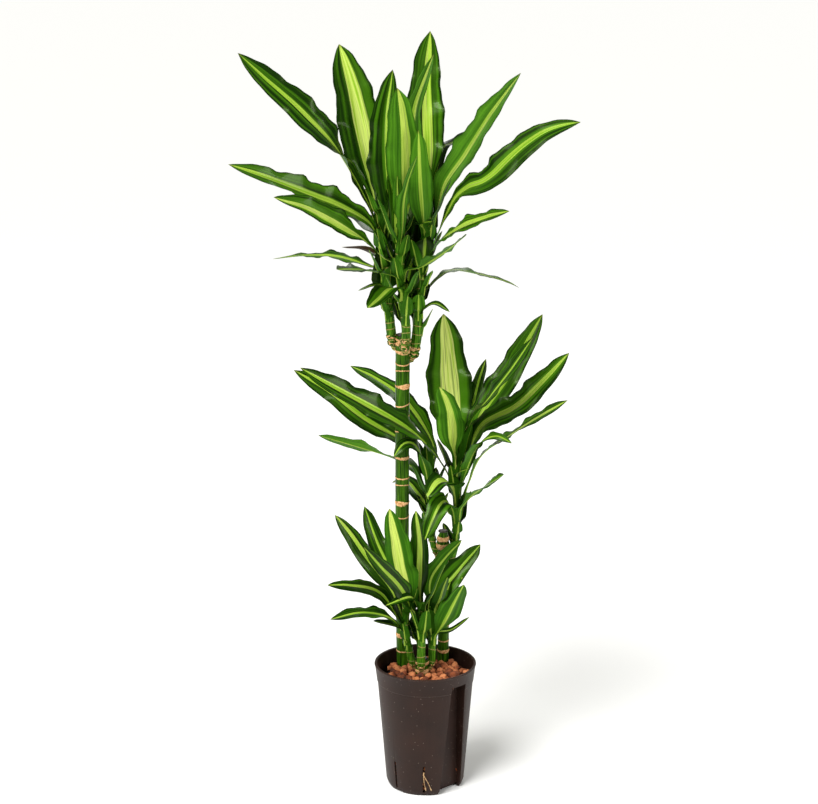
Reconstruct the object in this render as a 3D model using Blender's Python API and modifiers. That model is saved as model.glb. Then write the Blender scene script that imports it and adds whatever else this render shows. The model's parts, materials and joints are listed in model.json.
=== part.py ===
"""Corn plant (Dracaena fragrans, striped form) potted in clay pebbles in a 15/19 hydroculture pot.

Three rooted canes of different heights stand in the pot. Each is cut off and sealed with wax, and
carries two or three leafy shoots. Metres, +Z up, +X to the plant's right, -Y towards its front. The
origin is the middle of the pot's underside. Lengths in the tables below are in millimetres.
"""

import math
from dataclasses import dataclass

import bmesh
import bpy
from mathutils import Vector

MM = 0.001
GAP = 0.3  # clearance kept between neighbouring pieces

# Pot: a 15 cm wide, 19 cm high culture pot
POT_HEIGHT = 190.0
RIM_RADIUS = 75.0
RIM_LIP = 2.0
COLLAR_HEIGHT = 27.0
COLLAR_FOOT_RADIUS = 71.2
WALL_TOP_RADIUS = 70.4
WALL_FOOT_RADIUS = 57.7
CHAMFER_HEIGHT = 9.0
FOOT_RADIUS = 53.5
WALL = 1.8
FOOT_HEIGHT = 3.0
FOOT_RING_WIDTH = 3.5
FOOT_ROUNDING = (1.6, 2.4)  # how far the foot's edge is rounded off, outwards and upwards
BOSS_RADIUS = 12.0
EDGE = 0.4  # small flat that breaks a sharp moulded edge
OVERLAP = 0.5  # how far the gauge's housing runs into the wall that it joins
POT_STEPS = 64

# Openings in the pot wall, as angles round the pot from the front towards +X
SLOT_ANGLES = (-47, -2, 88, 133, 178, 223, 268)
SLOT_WIDTH = 3.4
SLOT_REACH = (48.0, 70.0)  # a cutter's inner and outer distance from the pot's axis
SLOT_LEVELS = (6.0, 49.0)
FOOT_GAP_ANGLES = (-47, -2, 43, 88, 133, 178, 223, 268)
FOOT_GAP_WIDTH = 17.0
FOOT_GAP_REACH = (46.0, 70.0)
FOOT_GAP_LEVELS = (-5.0, 2.6)

# Recess for the water gauge
GAUGE_ANGLE = 43.5
GAUGE_TOP = 172.0
GAUGE_HALF_WIDTH = (13.5, 21.5)  # at its top and at the pot's foot
GAUGE_BACK = (52.0, 43.0)  # distance of its back wall from the pot's axis, top and foot
GAUGE_RUN_OUT = 10.0  # how far its cutter carries on below the foot
GAUGE_REACH = 95.0  # past the pot's outside

# Clay pebbles
CLAY_LEVEL = 172.0
CLAY_SLOPE = (0.045, 0.01)  # rise towards the right and towards the back
CLAY_MOST_RISE = 10.0
CLAY_FLAT_EDGE = 0.97  # share of its radius beyond which the clay stays level
CLAY_RINGS = 15
CLAY_STEPS = 40
LUMP_HEIGHT = 2.6

# Leaves
LEAF_STATIONS = 14
LEAF_THICKNESS = 1.1
LEAF_FOLD = 0.2
PETIOLE_WIDTH = 9.0
PETIOLE_RISE = (2.0, 12.0)  # outwards and upwards, before the leaf turns to its route
BLADE_OPENS = (0.08, 0.44)  # shares of the length where the blade starts to widen and is widest
BLADE_NARROWS = 0.5
FACING_SETTLES = 0.2  # share of the length over which a leaf turns away from its shoot


@dataclass(frozen=True)
class Stem:
    """A cane or shoot: its route and its radius at each end."""

    name: str
    route: tuple
    radii: tuple
    parent: str = ""


CANES = (
    Stem("cane_tall", ((-27, 37, 70), (-33, 45, 185), (-34, 46, 430), (-33, 45, 674)), (10.0, 11.0)),
    Stem("cane_middle", ((23, 41, 80), (27, 50, 180), (27, 52, 290), (26, 54, 374)), (8.8, 8.4)),
    Stem("cane_short", ((-4, 4, 90), (-5, 4, 140), (-5, 4, 193)), (10.5, 10.5)),
)
CANE_STATIONS = 10
SHOOT_STATIONS = 16
WAX_HEIGHT = 2.0
WAX_INSET = 1.2
WAX_SLOPE = 1.0

SHOOTS = (
    Stem("shoot_tall_left", ((-37, 45, 652), (-47, 46, 664), (-51, 47, 690), (-54, 48, 730),
                             (-58, 48, 780), (-63, 49, 830), (-65, 50, 862)), (6.6, 4.6), "cane_tall"),
    Stem("shoot_tall_centre", ((-31, 40, 650), (-29, 30, 664), (-28, 27, 690), (-33, 27, 735),
                               (-37, 28, 785), (-37, 28, 835), (-37, 29, 862)), (6.2, 4.6), "cane_tall"),
    Stem("shoot_tall_right", ((-30, 47, 634), (-17, 47, 650), (-12, 46, 680), (-10, 45, 720),
                              (-4, 44, 770), (2, 44, 820), (6, 45, 872)), (7.0, 4.6), "cane_tall"),
    Stem("shoot_middle_left", ((24, 54, 332), (14, 58, 346), (8, 61, 375), (7, 61, 420),
                               (6, 62, 462)), (5.0, 3.8), "cane_middle"),
    Stem("shoot_middle_right", ((29, 54, 318), (40, 56, 334), (45, 57, 362), (47, 58, 410),
                                (46, 60, 478)), (5.4, 3.8), "cane_middle"),
    Stem("shoot_short_left", ((-10, 4, 178), (-19, 2, 190), (-24, 0, 210), (-29, -2, 240),
                              (-29, -3, 282)), (5.6, 4.2), "cane_short"),
    Stem("shoot_short_centre", ((-6, 0, 178), (-6, -10, 189), (-6, -12, 210), (-5, -12, 240),
                                (-6, -11, 286)), (5.8, 4.4), "cane_short"),
    Stem("shoot_short_right", ((0, 4, 177), (9.5, 4, 189), (10, 4, 210), (10, 4, 240),
                               (10, 4, 276)), (5.4, 4.2), "cane_short"),
)


@dataclass(frozen=True)
class Leaf:
    """One leaf. It leaves its shoot at `height` and its midrib runs through `route` to the tip.

    `facings` are the directions that its upper side faces, evenly spaced from its foot to its tip.
    `fold` is the rise of each margin over the midrib, as a share of the leaf's half width.
    """

    shoot: str
    height: float
    width: float
    facings: tuple
    route: tuple
    fold: float = LEAF_FOLD


LEFT, CENTRE, RIGHT = "shoot_tall_left", "shoot_tall_centre", "shoot_tall_right"
MID_LEFT, MID_RIGHT = "shoot_middle_left", "shoot_middle_right"
LOW_LEFT, LOW_CENTRE, LOW_RIGHT = "shoot_short_left", "shoot_short_centre", "shoot_short_right"

LEAVES = (
    # Left shoot of the tall cane
    Leaf(LEFT, 756, 26, ((0, -1, 3), (0, -1, 4), (0, 0, 1)),
         ((-80, 74, 769), (-127, 120, 773), (-178, 160, 767), (-228, 190, 756))),
    Leaf(LEFT, 776, 38, ((1, -1, 1), (0, -2, 2), (0, -2, 2), (0, -2, 2)),
         ((-76, 26, 836), (-115, 0, 867), (-160, -32, 892), (-218, -65, 921), (-269, -85, 943)), 0.5),
    Leaf(LEFT, 808, 47, ((1, -1, 1), (2, -2, 2), (3, 0, 3), (1, -2, 1), (1, -3, 1), (1, -3, 2)),
         ((-80, 38, 862), (-115, 28, 929), (-140, 22, 965), (-183, 18, 1011), (-226, 12, 1050),
          (-260, 6, 1083))),
    Leaf(LEFT, 830, 66, ((1, -3, 0), (1, -4, 0), (1, -4, 1)),
         ((-74, 66, 870), (-90, 86, 950), (-105, 106, 1018), (-124, 125, 1082))),
    # Centre shoot of the tall cane
    Leaf(CENTRE, 734, 34, ((0, 1, 1), (0, 0, 1), (0, -1, 2), (0, -2, 2)),
         ((-52, -18, 756), (-68, -48, 748), (-82, -70, 740))),
    Leaf(CENTRE, 752, 32, ((1, 1, 2), (0, 0, 1), (0, -1, 2), (0, -2, 2)),
         ((-62, 0, 775), (-94, -58, 791), (-122, -125, 806))),
    Leaf(CENTRE, 770, 36, ((1, 0, 2), (0, -1, 2), (0, -3, 2), (0, -2, 2)),
         ((-58, 6, 794), (-98, -32, 837), (-158, -76, 882), (-207, -108, 902))),
    Leaf(CENTRE, 762, 36, ((-1, 1, 2), (0, 0, 1), (0, -1, 2), (0, -2, 2)),
         ((-8, 4, 782), (22, -48, 811), (54, -115, 852))),
    Leaf(CENTRE, 786, 46, ((0, -3, 1), (-1, -3, 1), (0, -3, 1)),
         ((-45, 50, 820), (-58, 62, 911), (-58, 70, 988), (-47, 74, 1052))),
    Leaf(CENTRE, 800, 30, ((-1, 2, 1), (-2, 1, 1), (-2, 1, 1)),
         ((-33, -1, 841), (-31, -25, 880), (-24, -46, 917), (-13, -62, 951))),
    Leaf(CENTRE, 824, 50, ((0, 3, 1), (1, 4, 1), (0, 4, 1)),
         ((-33, 14, 878), (-33, -8, 938), (-35, -26, 997), (-40, -42, 1041))),
    # Right shoot of the tall cane
    Leaf(RIGHT, 722, 20, ((-1, 0, 2), (0, -1, 4), (0, -1, 3)),
         ((15, 72, 749), (39, 102, 757), (80, 140, 743), (124, 172, 724), (141, 180, 714))),
    Leaf(RIGHT, 770, 32, ((-1, 0, 2), (0, -2, 2), (0, -2, 2)),
         ((17, 8, 815), (46, -45, 847), (82, -92, 871), (111, -130, 887))),
    Leaf(RIGHT, 788, 42, ((-1, 0, 1), (0, -1, 2), (0, -2, 2), (0, -2, 1), (0, -2, 2)),
         ((34, 28, 862), (52, 15, 889), (88, -8, 910), (129, -30, 954), (168, -50, 984),
          (209, -68, 998))),
    Leaf(RIGHT, 800, 34, ((0, 2, 1), (-1, 3, 1), (0, 3, 1)),
         ((-4, 12, 848), (-8, -20, 911), (-11, -34, 982))),
    Leaf(RIGHT, 812, 44, ((-1, 1, 1), (-1, 3, 1), (-2, 3, 1), (-1, 2, 1), (-1, 1, 1)),
         ((24, 50, 889), (52, 58, 931), (87, 66, 985), (115, 72, 1023), (134, 76, 1047))),
    Leaf(RIGHT, 836, 34, ((-2, 3, 1), (-2, 3, 1), (-2, 2, 1)),
         ((-12, 36, 880), (-18, 30, 945), (-16, 25, 1002), (0, 20, 1051), (10, 16, 1080))),
    Leaf(RIGHT, 850, 52, ((0, -3, 1), (0, -4, 0), (0, -4, 0)),
         ((4, 66, 912), (0, 84, 980), (0, 100, 1041), (6, 112, 1102))),
    # Left shoot of the middle cane
    Leaf(MID_LEFT, 410, 34, ((1, -1, 2), (0, 0, 1), (0, 2, 2), (0, 3, 2)),
         ((-14, 80, 459), (-46, 104, 471), (-98, 120, 484), (-160, 130, 500))),
    Leaf(MID_LEFT, 428, 28, ((0, 1, 3), (0, 0, 1), (0, -1, 3), (0, -2, 2), (-1, -3, 0)),
         ((0, 34, 480), (-16, 12, 518), (-32, -5, 524), (-46, -15, 508))),
    Leaf(MID_LEFT, 440, 38, ((1, -1, 2), (0, -1, 2), (0, -2, 1), (0, -2, 1)),
         ((-6, 72, 490), (-37, 82, 508), (-89, 80, 541), (-139, 76, 582), (-192, 70, 616))),
    Leaf(MID_LEFT, 455, 34, ((1, -1, 2), (1, -2, 2), (1, -2, 2)),
         ((11, 92, 497), (-30, 130, 552), (-71, 165, 576), (-113, 190, 592))),
    # Right shoot of the middle cane
    Leaf(MID_RIGHT, 382, 34, ((0, 1, 1), (0, 0, 1), (-1, -2, 1), (-1, -3, 0), (-1, -3, 0)),
         ((38, 36, 418), (26, 22, 430), (13, 8, 414), (-1, -4, 380))),
    Leaf(MID_RIGHT, 397, 28, ((-1, 1, 2), (0, 0, 1), (0, -2, 2), (0, -2, 2)),
         ((68, 24, 439), (89, -25, 470), (110, -72, 500))),
    Leaf(MID_RIGHT, 406, 32, ((-1, 1, 2), (-1, 0, 2), (0, -1, 2), (0, -2, 2)),
         ((79, 36, 492), (120, -12, 539), (160, -55, 580), (197, -88, 613))),
    Leaf(MID_RIGHT, 416, 38, ((0, 1, 1), (0, 0, 1), (0, -1, 2), (0, -2, 2)),
         ((38, 34, 452), (20, 14, 462), (2, 0, 444)), 0.4),
    Leaf(MID_RIGHT, 430, 28, ((-1, 1, 2), (0, 0, 1), (0, -1, 2), (1, -2, 2)),
         ((72, 14, 512), (98, -22, 541), (122, -46, 538))),
    Leaf(MID_RIGHT, 437, 42, ((1, -1, 2), (0, -1, 2), (0, -2, 2), (0, -2, 2)),
         ((17, 42, 492), (-11, 22, 529), (-43, 0, 559), (-94, -22, 595), (-134, -38, 622),
          (-177, -50, 650))),
    Leaf(MID_RIGHT, 443, 42, ((-1, 1, 2), (0, -1, 2), (0, -2, 2), (0, -2, 2)),
         ((75, 40, 529), (97, 36, 551), (132, 28, 572), (173, 14, 618), (204, 0, 659))),
    Leaf(MID_RIGHT, 452, 44, ((-1, -1, 1), (-1, -2, 1), (-1, -3, 1)),
         ((79, 72, 541), (117, 84, 597), (145, 92, 646), (171, 98, 693))),
    Leaf(MID_RIGHT, 460, 34, ((-1, 1, 1), (-1, 0, 2), (-1, -1, 2), (-1, -2, 2)),
         ((64, 34, 544), (90, 12, 587), (122, -8, 637), (151, -22, 687))),
    Leaf(MID_RIGHT, 467, 66, ((0, -3, 1), (0, -4, 1), (0, -4, 1)),
         ((42, 80, 523), (35, 104, 585), (31, 124, 640), (27, 140, 684))),
    Leaf(MID_RIGHT, 474, 40, ((0, 3, 1), (0, 3, 1), (1, 3, 1)),
         ((38, 30, 518), (33, 6, 569), (19, -14, 613))),
    # Left shoot of the short cane
    Leaf(LOW_LEFT, 222, 28, ((1, -1, 2), (0, -1, 2), (0, -1, 2)),
         ((-50, -36, 270), (-91, -78, 295), (-136, -108, 296))),
    Leaf(LOW_LEFT, 240, 26, ((1, -1, 2), (0, -2, 2), (0, -2, 2)),
         ((-66, -30, 306), (-105, -70, 332), (-140, -95, 343))),
    Leaf(LOW_LEFT, 256, 30, ((1, -1, 1), (1, -2, 1), (1, -3, 1)),
         ((-53, 6, 303), (-87, 8, 349), (-113, 10, 388), (-132, 10, 414))),
    Leaf(LOW_LEFT, 270, 30, ((1, -3, 1), (0, -3, 1), (1, -3, 1)),
         ((-50, 22, 320), (-71, 42, 360), (-90, 60, 411))),
    # Centre shoot of the short cane
    Leaf(LOW_CENTRE, 236, 30, ((0, 1, 2), (0, -2, 2), (0, -2, 2)),
         ((-33, -40, 313), (-62, -65, 357), (-88, -80, 395))),
    Leaf(LOW_CENTRE, 250, 42, ((1, 3, 1), (1, 4, 1), (0, 4, 1)),
         ((-33, -22, 332), (-43, -30, 389), (-52, -35, 438))),
    Leaf(LOW_CENTRE, 264, 34, ((-1, -3, 1), (-2, -3, 0), (-1, -3, 0)),
         ((-8, 6, 318), (-8, 10, 371), (-14, 12, 420))),
    # Right shoot of the short cane
    Leaf(LOW_RIGHT, 220, 38, ((-1, 2, 1), (-1, 3, 1), (-1, 3, 1)),
         ((30, -28, 264), (46, -48, 307), (55, -58, 331))),
    Leaf(LOW_RIGHT, 244, 34, ((-1, -2, 1), (-1, -3, 1), (-1, -3, 1)),
         ((24, 25, 290), (50, 40, 321), (82, 60, 352))),
    Leaf(LOW_RIGHT, 258, 30, ((-1, 1, 1), (-1, 3, 1), (-1, 3, 1)),
         ((6, 22, 308), (26, 32, 338), (54, 48, 363))),
)

HANGING_ROOT = (
    ((-2.2, -62.2, 41), (-2.6, -62.6, 33), (-1.4, -61.8, 22), (1.0, -60.6, 11)),
    ((-2.6, -62.4, 40), (-1.8, -63.0, 35), (4.0, -62.2, 24), (9.0, -60.4, 11)),
)
ROOT_RADIUS = 0.5
ROOT_STATIONS = 9

# Colour and roughness of each finish
FINISHES = {
    "pot": ((0.05, 0.032, 0.026), 0.55),
    "clay": ((0.31, 0.08, 0.03), 0.9),
    "cane": ((0.05, 0.16, 0.02), 0.35),
    "shoot": ((0.09, 0.24, 0.03), 0.4),
    "leaf": ((0.03, 0.13, 0.01), 0.3),
    "wax": ((0.02, 0.01, 0.008), 0.4),
    "root": ((0.55, 0.36, 0.17), 0.7),
}


def clear_scene():
    for obj in list(bpy.data.objects):
        bpy.data.objects.remove(obj)


def new_collection(name, helper=False):
    collection = bpy.data.collections.new(name)
    collection.hide_render = helper
    bpy.context.scene.collection.children.link(collection)
    return collection


def new_material(name, colour, roughness):
    material = bpy.data.materials.new(name)
    material.use_nodes = True
    shader = material.node_tree.nodes["Principled BSDF"]
    shader.inputs["Base Color"].default_value = (*colour, 1.0)
    shader.inputs["Roughness"].default_value = roughness
    material.diffuse_color = (*colour, 1.0)
    return material


def round_pot(angle, radius, z):
    """Point in metres at this angle from the pot's front, distance from its axis and height, in mm."""
    turn = math.radians(angle)
    return Vector((math.sin(turn) * radius, -math.cos(turn) * radius, z)) * MM


def mix(a, b, share):
    return a + (b - a) * share


def smooth_route(route, count):
    """`count` points and directions, evenly spaced along a Catmull-Rom curve through the route."""
    knots = [Vector(point) for point in route]
    knots = [2 * knots[0] - knots[1]] + knots + [2 * knots[-1] - knots[-2]]
    fine = []
    for before, start, end, after in zip(knots, knots[1:], knots[2:], knots[3:]):
        for step in range(24):
            t = step / 24
            fine.append(0.5 * (2 * start + (end - before) * t
                               + (2 * before - 5 * start + 4 * end - after) * t * t
                               + (3 * start - before - 3 * end + after) * t ** 3))
    fine.append(knots[-2])
    travelled = [0.0]
    for a, b in zip(fine, fine[1:]):
        travelled.append(travelled[-1] + (b - a).length)
    points = []
    segment = 0
    for index in range(count):
        goal = travelled[-1] * index / (count - 1)
        while segment < len(fine) - 2 and travelled[segment + 1] < goal:
            segment += 1
        span = travelled[segment + 1] - travelled[segment]
        points.append(fine[segment].lerp(fine[segment + 1], (goal - travelled[segment]) / span))
    directions = []
    for index in range(count):
        ahead = points[min(index + 1, count - 1)]
        behind = points[max(index - 1, 0)]
        directions.append((ahead - behind).normalized())
    return points, directions


def link(obj, collection, material=None):
    collection.objects.link(obj)
    if material:
        obj.data.materials.append(material)
    if collection.hide_render:
        obj.hide_render = True
        obj.display_type = "WIRE"
    return obj


def shade_round(obj):
    obj.data.shade_smooth()
    obj.data.set_sharp_from_angle(angle=math.radians(40))


def baked(obj, collection, material=None):
    """The object as it evaluates, as a plain closed mesh that takes its place."""
    bpy.context.view_layer.update()
    mesh = bpy.data.meshes.new_from_object(obj.evaluated_get(bpy.context.evaluated_depsgraph_get()))
    body = bmesh.new()
    body.from_mesh(mesh)
    bmesh.ops.remove_doubles(body, verts=body.verts, dist=1e-5)
    body.to_mesh(mesh)
    body.free()
    name = obj.name
    matrix = obj.matrix_world.copy()
    bpy.data.objects.remove(obj)
    mesh.materials.clear()
    result = link(bpy.data.objects.new(name, mesh), collection, material)
    result.matrix_world = matrix
    return result


def turned(name, profile, steps, collection, material=None):
    """A body turned round Z from (radius, height) points in mm, which start and end on the axis."""
    mesh = bpy.data.meshes.new(name)
    corners = [(radius * MM, 0, z * MM) for radius, z in profile]
    mesh.from_pydata(corners, [(i, i + 1) for i in range(len(corners) - 1)], [])
    obj = link(bpy.data.objects.new(name, mesh), collection, material)
    screw = obj.modifiers.new("Turn", "SCREW")
    screw.steps = steps
    screw.render_steps = steps
    screw.use_merge_vertices = True
    screw.merge_threshold = 0.00001
    return baked(obj, collection, material)


def tube(name, points, radii, collection, material=None, resolution=3):
    """A round stem through points in mm, whose radius runs between the two given ones."""
    curve = bpy.data.curves.new(name, "CURVE")
    curve.dimensions = "3D"
    curve.bevel_depth = MM
    curve.bevel_resolution = resolution
    curve.use_fill_caps = True
    spline = curve.splines.new("POLY")
    spline.points.add(len(points) - 1)
    for index, point in enumerate(points):
        spline.points[index].co = (*(Vector(point) * MM), 1)
        spline.points[index].radius = mix(*radii, index / (len(points) - 1))
    obj = link(bpy.data.objects.new(name, curve), collection)
    return baked(obj, collection, material)


def cut(target, cutter, operation="DIFFERENCE"):
    modifier = target.modifiers.new(f"{operation} {cutter.name}", "BOOLEAN")
    modifier.operation = operation
    modifier.solver = "EXACT"
    modifier.object = cutter


def block(name, corners, collection):
    """A closed six-sided body from its four lower and four upper corners, each set anticlockwise."""
    body = bmesh.new()
    verts = [body.verts.new(corner) for corner in corners]
    bmesh.ops.convex_hull(body, input=verts)
    mesh = bpy.data.meshes.new(name)
    bmesh.ops.recalc_face_normals(body, faces=body.faces)
    body.to_mesh(mesh)
    body.free()
    return link(bpy.data.objects.new(name, mesh), collection)


def gauge_prism(name, margin, top, reach, collection):
    """The gauge recess, grown by `margin` on its sides, back and top, out to `reach` from the axis."""
    out = round_pot(GAUGE_ANGLE, 1, 0) / MM
    along = Vector((-out.y, out.x, 0))
    corners = []
    for share, z in ((1 + GAUGE_RUN_OUT / GAUGE_TOP, -GAUGE_RUN_OUT), (0.0, top)):
        half = mix(GAUGE_HALF_WIDTH[0], GAUGE_HALF_WIDTH[1], share) + margin
        back = mix(GAUGE_BACK[0], GAUGE_BACK[1], share) - margin
        for distance, side in ((back, -half), (reach, -half), (reach, half), (back, half)):
            corners.append((out * distance + along * side + Vector((0, 0, z))) * MM)
    return block(name, corners, collection)


def pot_profile():
    outside = (
        (RIM_RADIUS - RIM_LIP, POT_HEIGHT),
        (RIM_RADIUS - EDGE, POT_HEIGHT - EDGE),
        (RIM_RADIUS, POT_HEIGHT - RIM_LIP),
        (RIM_RADIUS - 2 * EDGE, POT_HEIGHT - RIM_LIP - 3 * EDGE),
        (COLLAR_FOOT_RADIUS, POT_HEIGHT - COLLAR_HEIGHT),
        (WALL_TOP_RADIUS, POT_HEIGHT - COLLAR_HEIGHT - 2 * EDGE),
        (WALL_FOOT_RADIUS, CHAMFER_HEIGHT),
        (FOOT_RADIUS + FOOT_ROUNDING[0], FOOT_ROUNDING[1]),
        (FOOT_RADIUS, 0.0),
    )
    ring = FOOT_RADIUS - FOOT_RING_WIDTH
    underside = (
        (ring, 0.0),
        (ring, FOOT_HEIGHT),
        (BOSS_RADIUS, FOOT_HEIGHT),
        (BOSS_RADIUS, 0.0),
        (0.0, 0.0),
    )
    floor = FOOT_HEIGHT + WALL
    inside = (
        (0.0, floor),
        (FOOT_RADIUS - EDGE, floor),
        (WALL_FOOT_RADIUS - WALL, CHAMFER_HEIGHT + 2 * EDGE),
        (WALL_TOP_RADIUS - WALL, POT_HEIGHT - COLLAR_HEIGHT),
        (RIM_RADIUS - RIM_LIP - WALL, POT_HEIGHT - 2 * EDGE),
    )
    return inside + outside + underside


def make_pot(parts, cutters, material):
    pot = turned("culture_pot", pot_profile(), POT_STEPS, parts, material)
    low = FOOT_HEIGHT + OVERLAP
    high = GAUGE_TOP + WALL + OVERLAP
    within_wall = (
        (0, high),
        (WALL_TOP_RADIUS - OVERLAP, high),
        (WALL_FOOT_RADIUS - OVERLAP, CHAMFER_HEIGHT),
        (FOOT_RADIUS - OVERLAP, low),
        (0, low),
    )
    envelope = turned("gauge_envelope", within_wall, POT_STEPS, cutters)
    housing = gauge_prism("gauge_housing", WALL, GAUGE_TOP + WALL, GAUGE_REACH, cutters)
    cut(housing, envelope, "INTERSECT")
    cut(pot, housing, "UNION")
    cut(pot, gauge_prism("gauge_recess", 0.0, GAUGE_TOP, GAUGE_REACH, cutters))
    for angle in SLOT_ANGLES:
        slot = radial_block(f"slot_{angle}", angle, SLOT_WIDTH, SLOT_REACH, SLOT_LEVELS, cutters)
        cut(pot, slot)
    for angle in FOOT_GAP_ANGLES:
        cut(pot, radial_block(f"foot_gap_{angle}", angle, FOOT_GAP_WIDTH, FOOT_GAP_REACH,
                              FOOT_GAP_LEVELS, cutters))
    shade_round(pot)
    return pot


def radial_block(name, angle, width, reach, levels, collection):
    """A block that points out from the pot's axis: its width, its reach from the axis and its levels."""
    out = round_pot(angle, 1, 0) / MM
    along = Vector((-out.y, out.x, 0))
    corners = []
    for z in levels:
        for distance, side in ((reach[0], -1), (reach[1], -1), (reach[1], 1), (reach[0], 1)):
            corners.append((out * distance + along * side * width / 2 + Vector((0, 0, z))) * MM)
    return block(name, corners, collection)


def clay_surface(x, y):
    """Height in mm of the clay at a point in mm: it rises to the back right and is lumpy."""
    slope = CLAY_SLOPE[0] * x + CLAY_SLOPE[1] * y
    across = math.sin(x * 0.42 + 1.3 * math.sin(y * 0.23))
    along = math.sin(y * 0.47 + 1.1 * math.sin(x * 0.31))
    small = math.sin(x * 0.83 + 2.0) * math.sin(y * 0.71 + 0.5)
    return CLAY_LEVEL + slope + LUMP_HEIGHT * (across * along + small / 2)


def make_clay(parts, cutters, material):
    floor = FOOT_HEIGHT + WALL + GAP
    margin = WALL + GAP
    share = (CLAY_LEVEL - CHAMFER_HEIGHT) / (POT_HEIGHT - COLLAR_HEIGHT - CHAMFER_HEIGHT)
    top_radius = mix(WALL_FOOT_RADIUS, WALL_TOP_RADIUS, share) - margin
    top = [(top_radius * ring / CLAY_RINGS, CLAY_LEVEL) for ring in range(CLAY_RINGS + 1)]
    wall = [
        (WALL_FOOT_RADIUS - margin, CHAMFER_HEIGHT + 2 * EDGE),
        (FOOT_RADIUS - EDGE - 2 * GAP, floor),
        (0, floor),
    ]
    clay = turned("clay_pebbles", top + wall, CLAY_STEPS, parts, material)
    for vert in clay.data.vertices:
        if vert.co.z > (CLAY_LEVEL - 1) * MM:
            edge = math.hypot(vert.co.x, vert.co.y) / (top_radius * MM)
            level = clay_surface(vert.co.x / MM, vert.co.y / MM)
            lumpy = min(level, CLAY_LEVEL + CLAY_MOST_RISE)
            vert.co.z = (lumpy if edge < CLAY_FLAT_EDGE else CLAY_LEVEL) * MM
    for cane in CANES:
        points, _ = smooth_route(cane.route, CANE_STATIONS)
        radii = (cane.radii[0] + GAP, cane.radii[1] + GAP)
        below = points[0] - Vector((0, 0, GAP))
        cut(clay, tube(f"{cane.name}_hole", [below] + points[1:], radii, cutters))
    margin = WALL + GAP
    cut(clay, gauge_prism("gauge_clearance", margin, GAUGE_TOP + margin, GAUGE_REACH, cutters))
    return clay


def make_cane(cane, parts, cutters, materials):
    points, directions = smooth_route(cane.route, CANE_STATIONS)
    body = tube(cane.name, points, cane.radii, parts, materials["cane"])
    top, up = points[-1], directions[-1]
    base = top + up * GAP
    radius = cane.radii[1] - WAX_INSET
    tube("wax_cap_" + cane.name.split("_")[1], [base, base + up * WAX_HEIGHT],
         (radius, radius - WAX_SLOPE), parts, materials["wax"])
    shade_round(body)
    return tube(f"{cane.name}_clearance", points, [radius + GAP for radius in cane.radii], cutters)


def make_shoot(shoot, parts, clearances, materials):
    points, _ = smooth_route(shoot.route, SHOOT_STATIONS)
    obj = tube(shoot.name, points, shoot.radii, parts, materials["shoot"], resolution=2)
    cut(obj, clearances[shoot.parent])
    shade_round(obj)


def blade_width(share):
    """Width of a leaf at this share of its length, as a share of its widest: petiole, blade, tip."""
    if share >= 1:
        return 0.0
    starts, widest = BLADE_OPENS
    opening = min(1.0, max(0.0, (share - starts) / (widest - starts)))
    opening = opening * opening * (3 - 2 * opening)
    closing = max(0.0, (share - BLADE_NARROWS) / (1 - BLADE_NARROWS))
    return opening * (1 - closing ** 2.1)


def stem_at_height(shoot, height):
    """Middle and radius of a shoot at this height, in mm."""
    points, _ = smooth_route(shoot.route, 60)
    index = min(range(len(points)), key=lambda i: abs(points[i].z - height))
    return points[index], mix(*shoot.radii, index / (len(points) - 1))


def make_leaf(name, leaf, shoot, parts, material):
    """A closed blade, folded along its midrib. It is V-shaped in section and narrows to a point."""
    middle, radius = stem_at_height(shoot, leaf.height)
    away = Vector(leaf.route[0]) - middle
    away.z = 0
    away.normalize()
    foot = middle + away * (radius + LEAF_THICKNESS + 4 * GAP)
    foot.z = leaf.height
    turn = foot + away * PETIOLE_RISE[0] + Vector((0, 0, PETIOLE_RISE[1]))
    points, directions = smooth_route((tuple(foot), tuple(turn)) + leaf.route, LEAF_STATIONS)
    facings = [Vector(facing).normalized() for facing in leaf.facings]
    body = bmesh.new()
    sections = []
    for index, (point, along) in enumerate(zip(points[:-1], directions)):
        share = index / (LEAF_STATIONS - 1)
        place = share * (len(facings) - 1)
        facing = facings[int(place)].lerp(facings[int(place) + 1], place % 1)
        facing = (-away).lerp(facing, min(1.0, share / FACING_SETTLES))
        side = along.cross(facing).normalized()
        upper = side.cross(along)
        petiole = PETIOLE_WIDTH * min(1, (1 - share) * 3)
        half = max(leaf.width * blade_width(share), petiole) / 2
        rise = upper * half * leaf.fold
        thick = upper * LEAF_THICKNESS / 2
        left = point - side * half + rise
        right = point + side * half + rise
        corners = (left, point - thick, right, point + thick)
        sections.append([body.verts.new(corner * MM) for corner in corners])
    tip = body.verts.new(points[-1] * MM)
    body.faces.new(sections[0])
    for lower, higher in zip(sections, sections[1:]):
        for margin, middle in ((0, 1), (2, 1), (2, 3), (0, 3)):
            # The upper and the under side share one diagonal, so a twist can't make them cross
            body.faces.new((lower[margin], higher[middle], lower[middle]))
            body.faces.new((lower[margin], higher[margin], higher[middle]))
    for corner in range(4):
        body.faces.new((sections[-1][corner], tip, sections[-1][(corner + 1) % 4]))
    bmesh.ops.recalc_face_normals(body, faces=body.faces)
    mesh = bpy.data.meshes.new(name)
    body.to_mesh(mesh)
    body.free()
    return link(bpy.data.objects.new(name, mesh), parts, material)


def make_root(parts, cutters, material):
    strands = []
    for name, home, route in zip(("hanging_root", "root_fork"), (parts, cutters), HANGING_ROOT):
        points, _ = smooth_route(route, ROOT_STATIONS)
        radii = (ROOT_RADIUS, ROOT_RADIUS * 0.8)
        strands.append(tube(name, points, radii, home, material, resolution=1))
    cut(strands[0], strands[1], "UNION")


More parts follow.
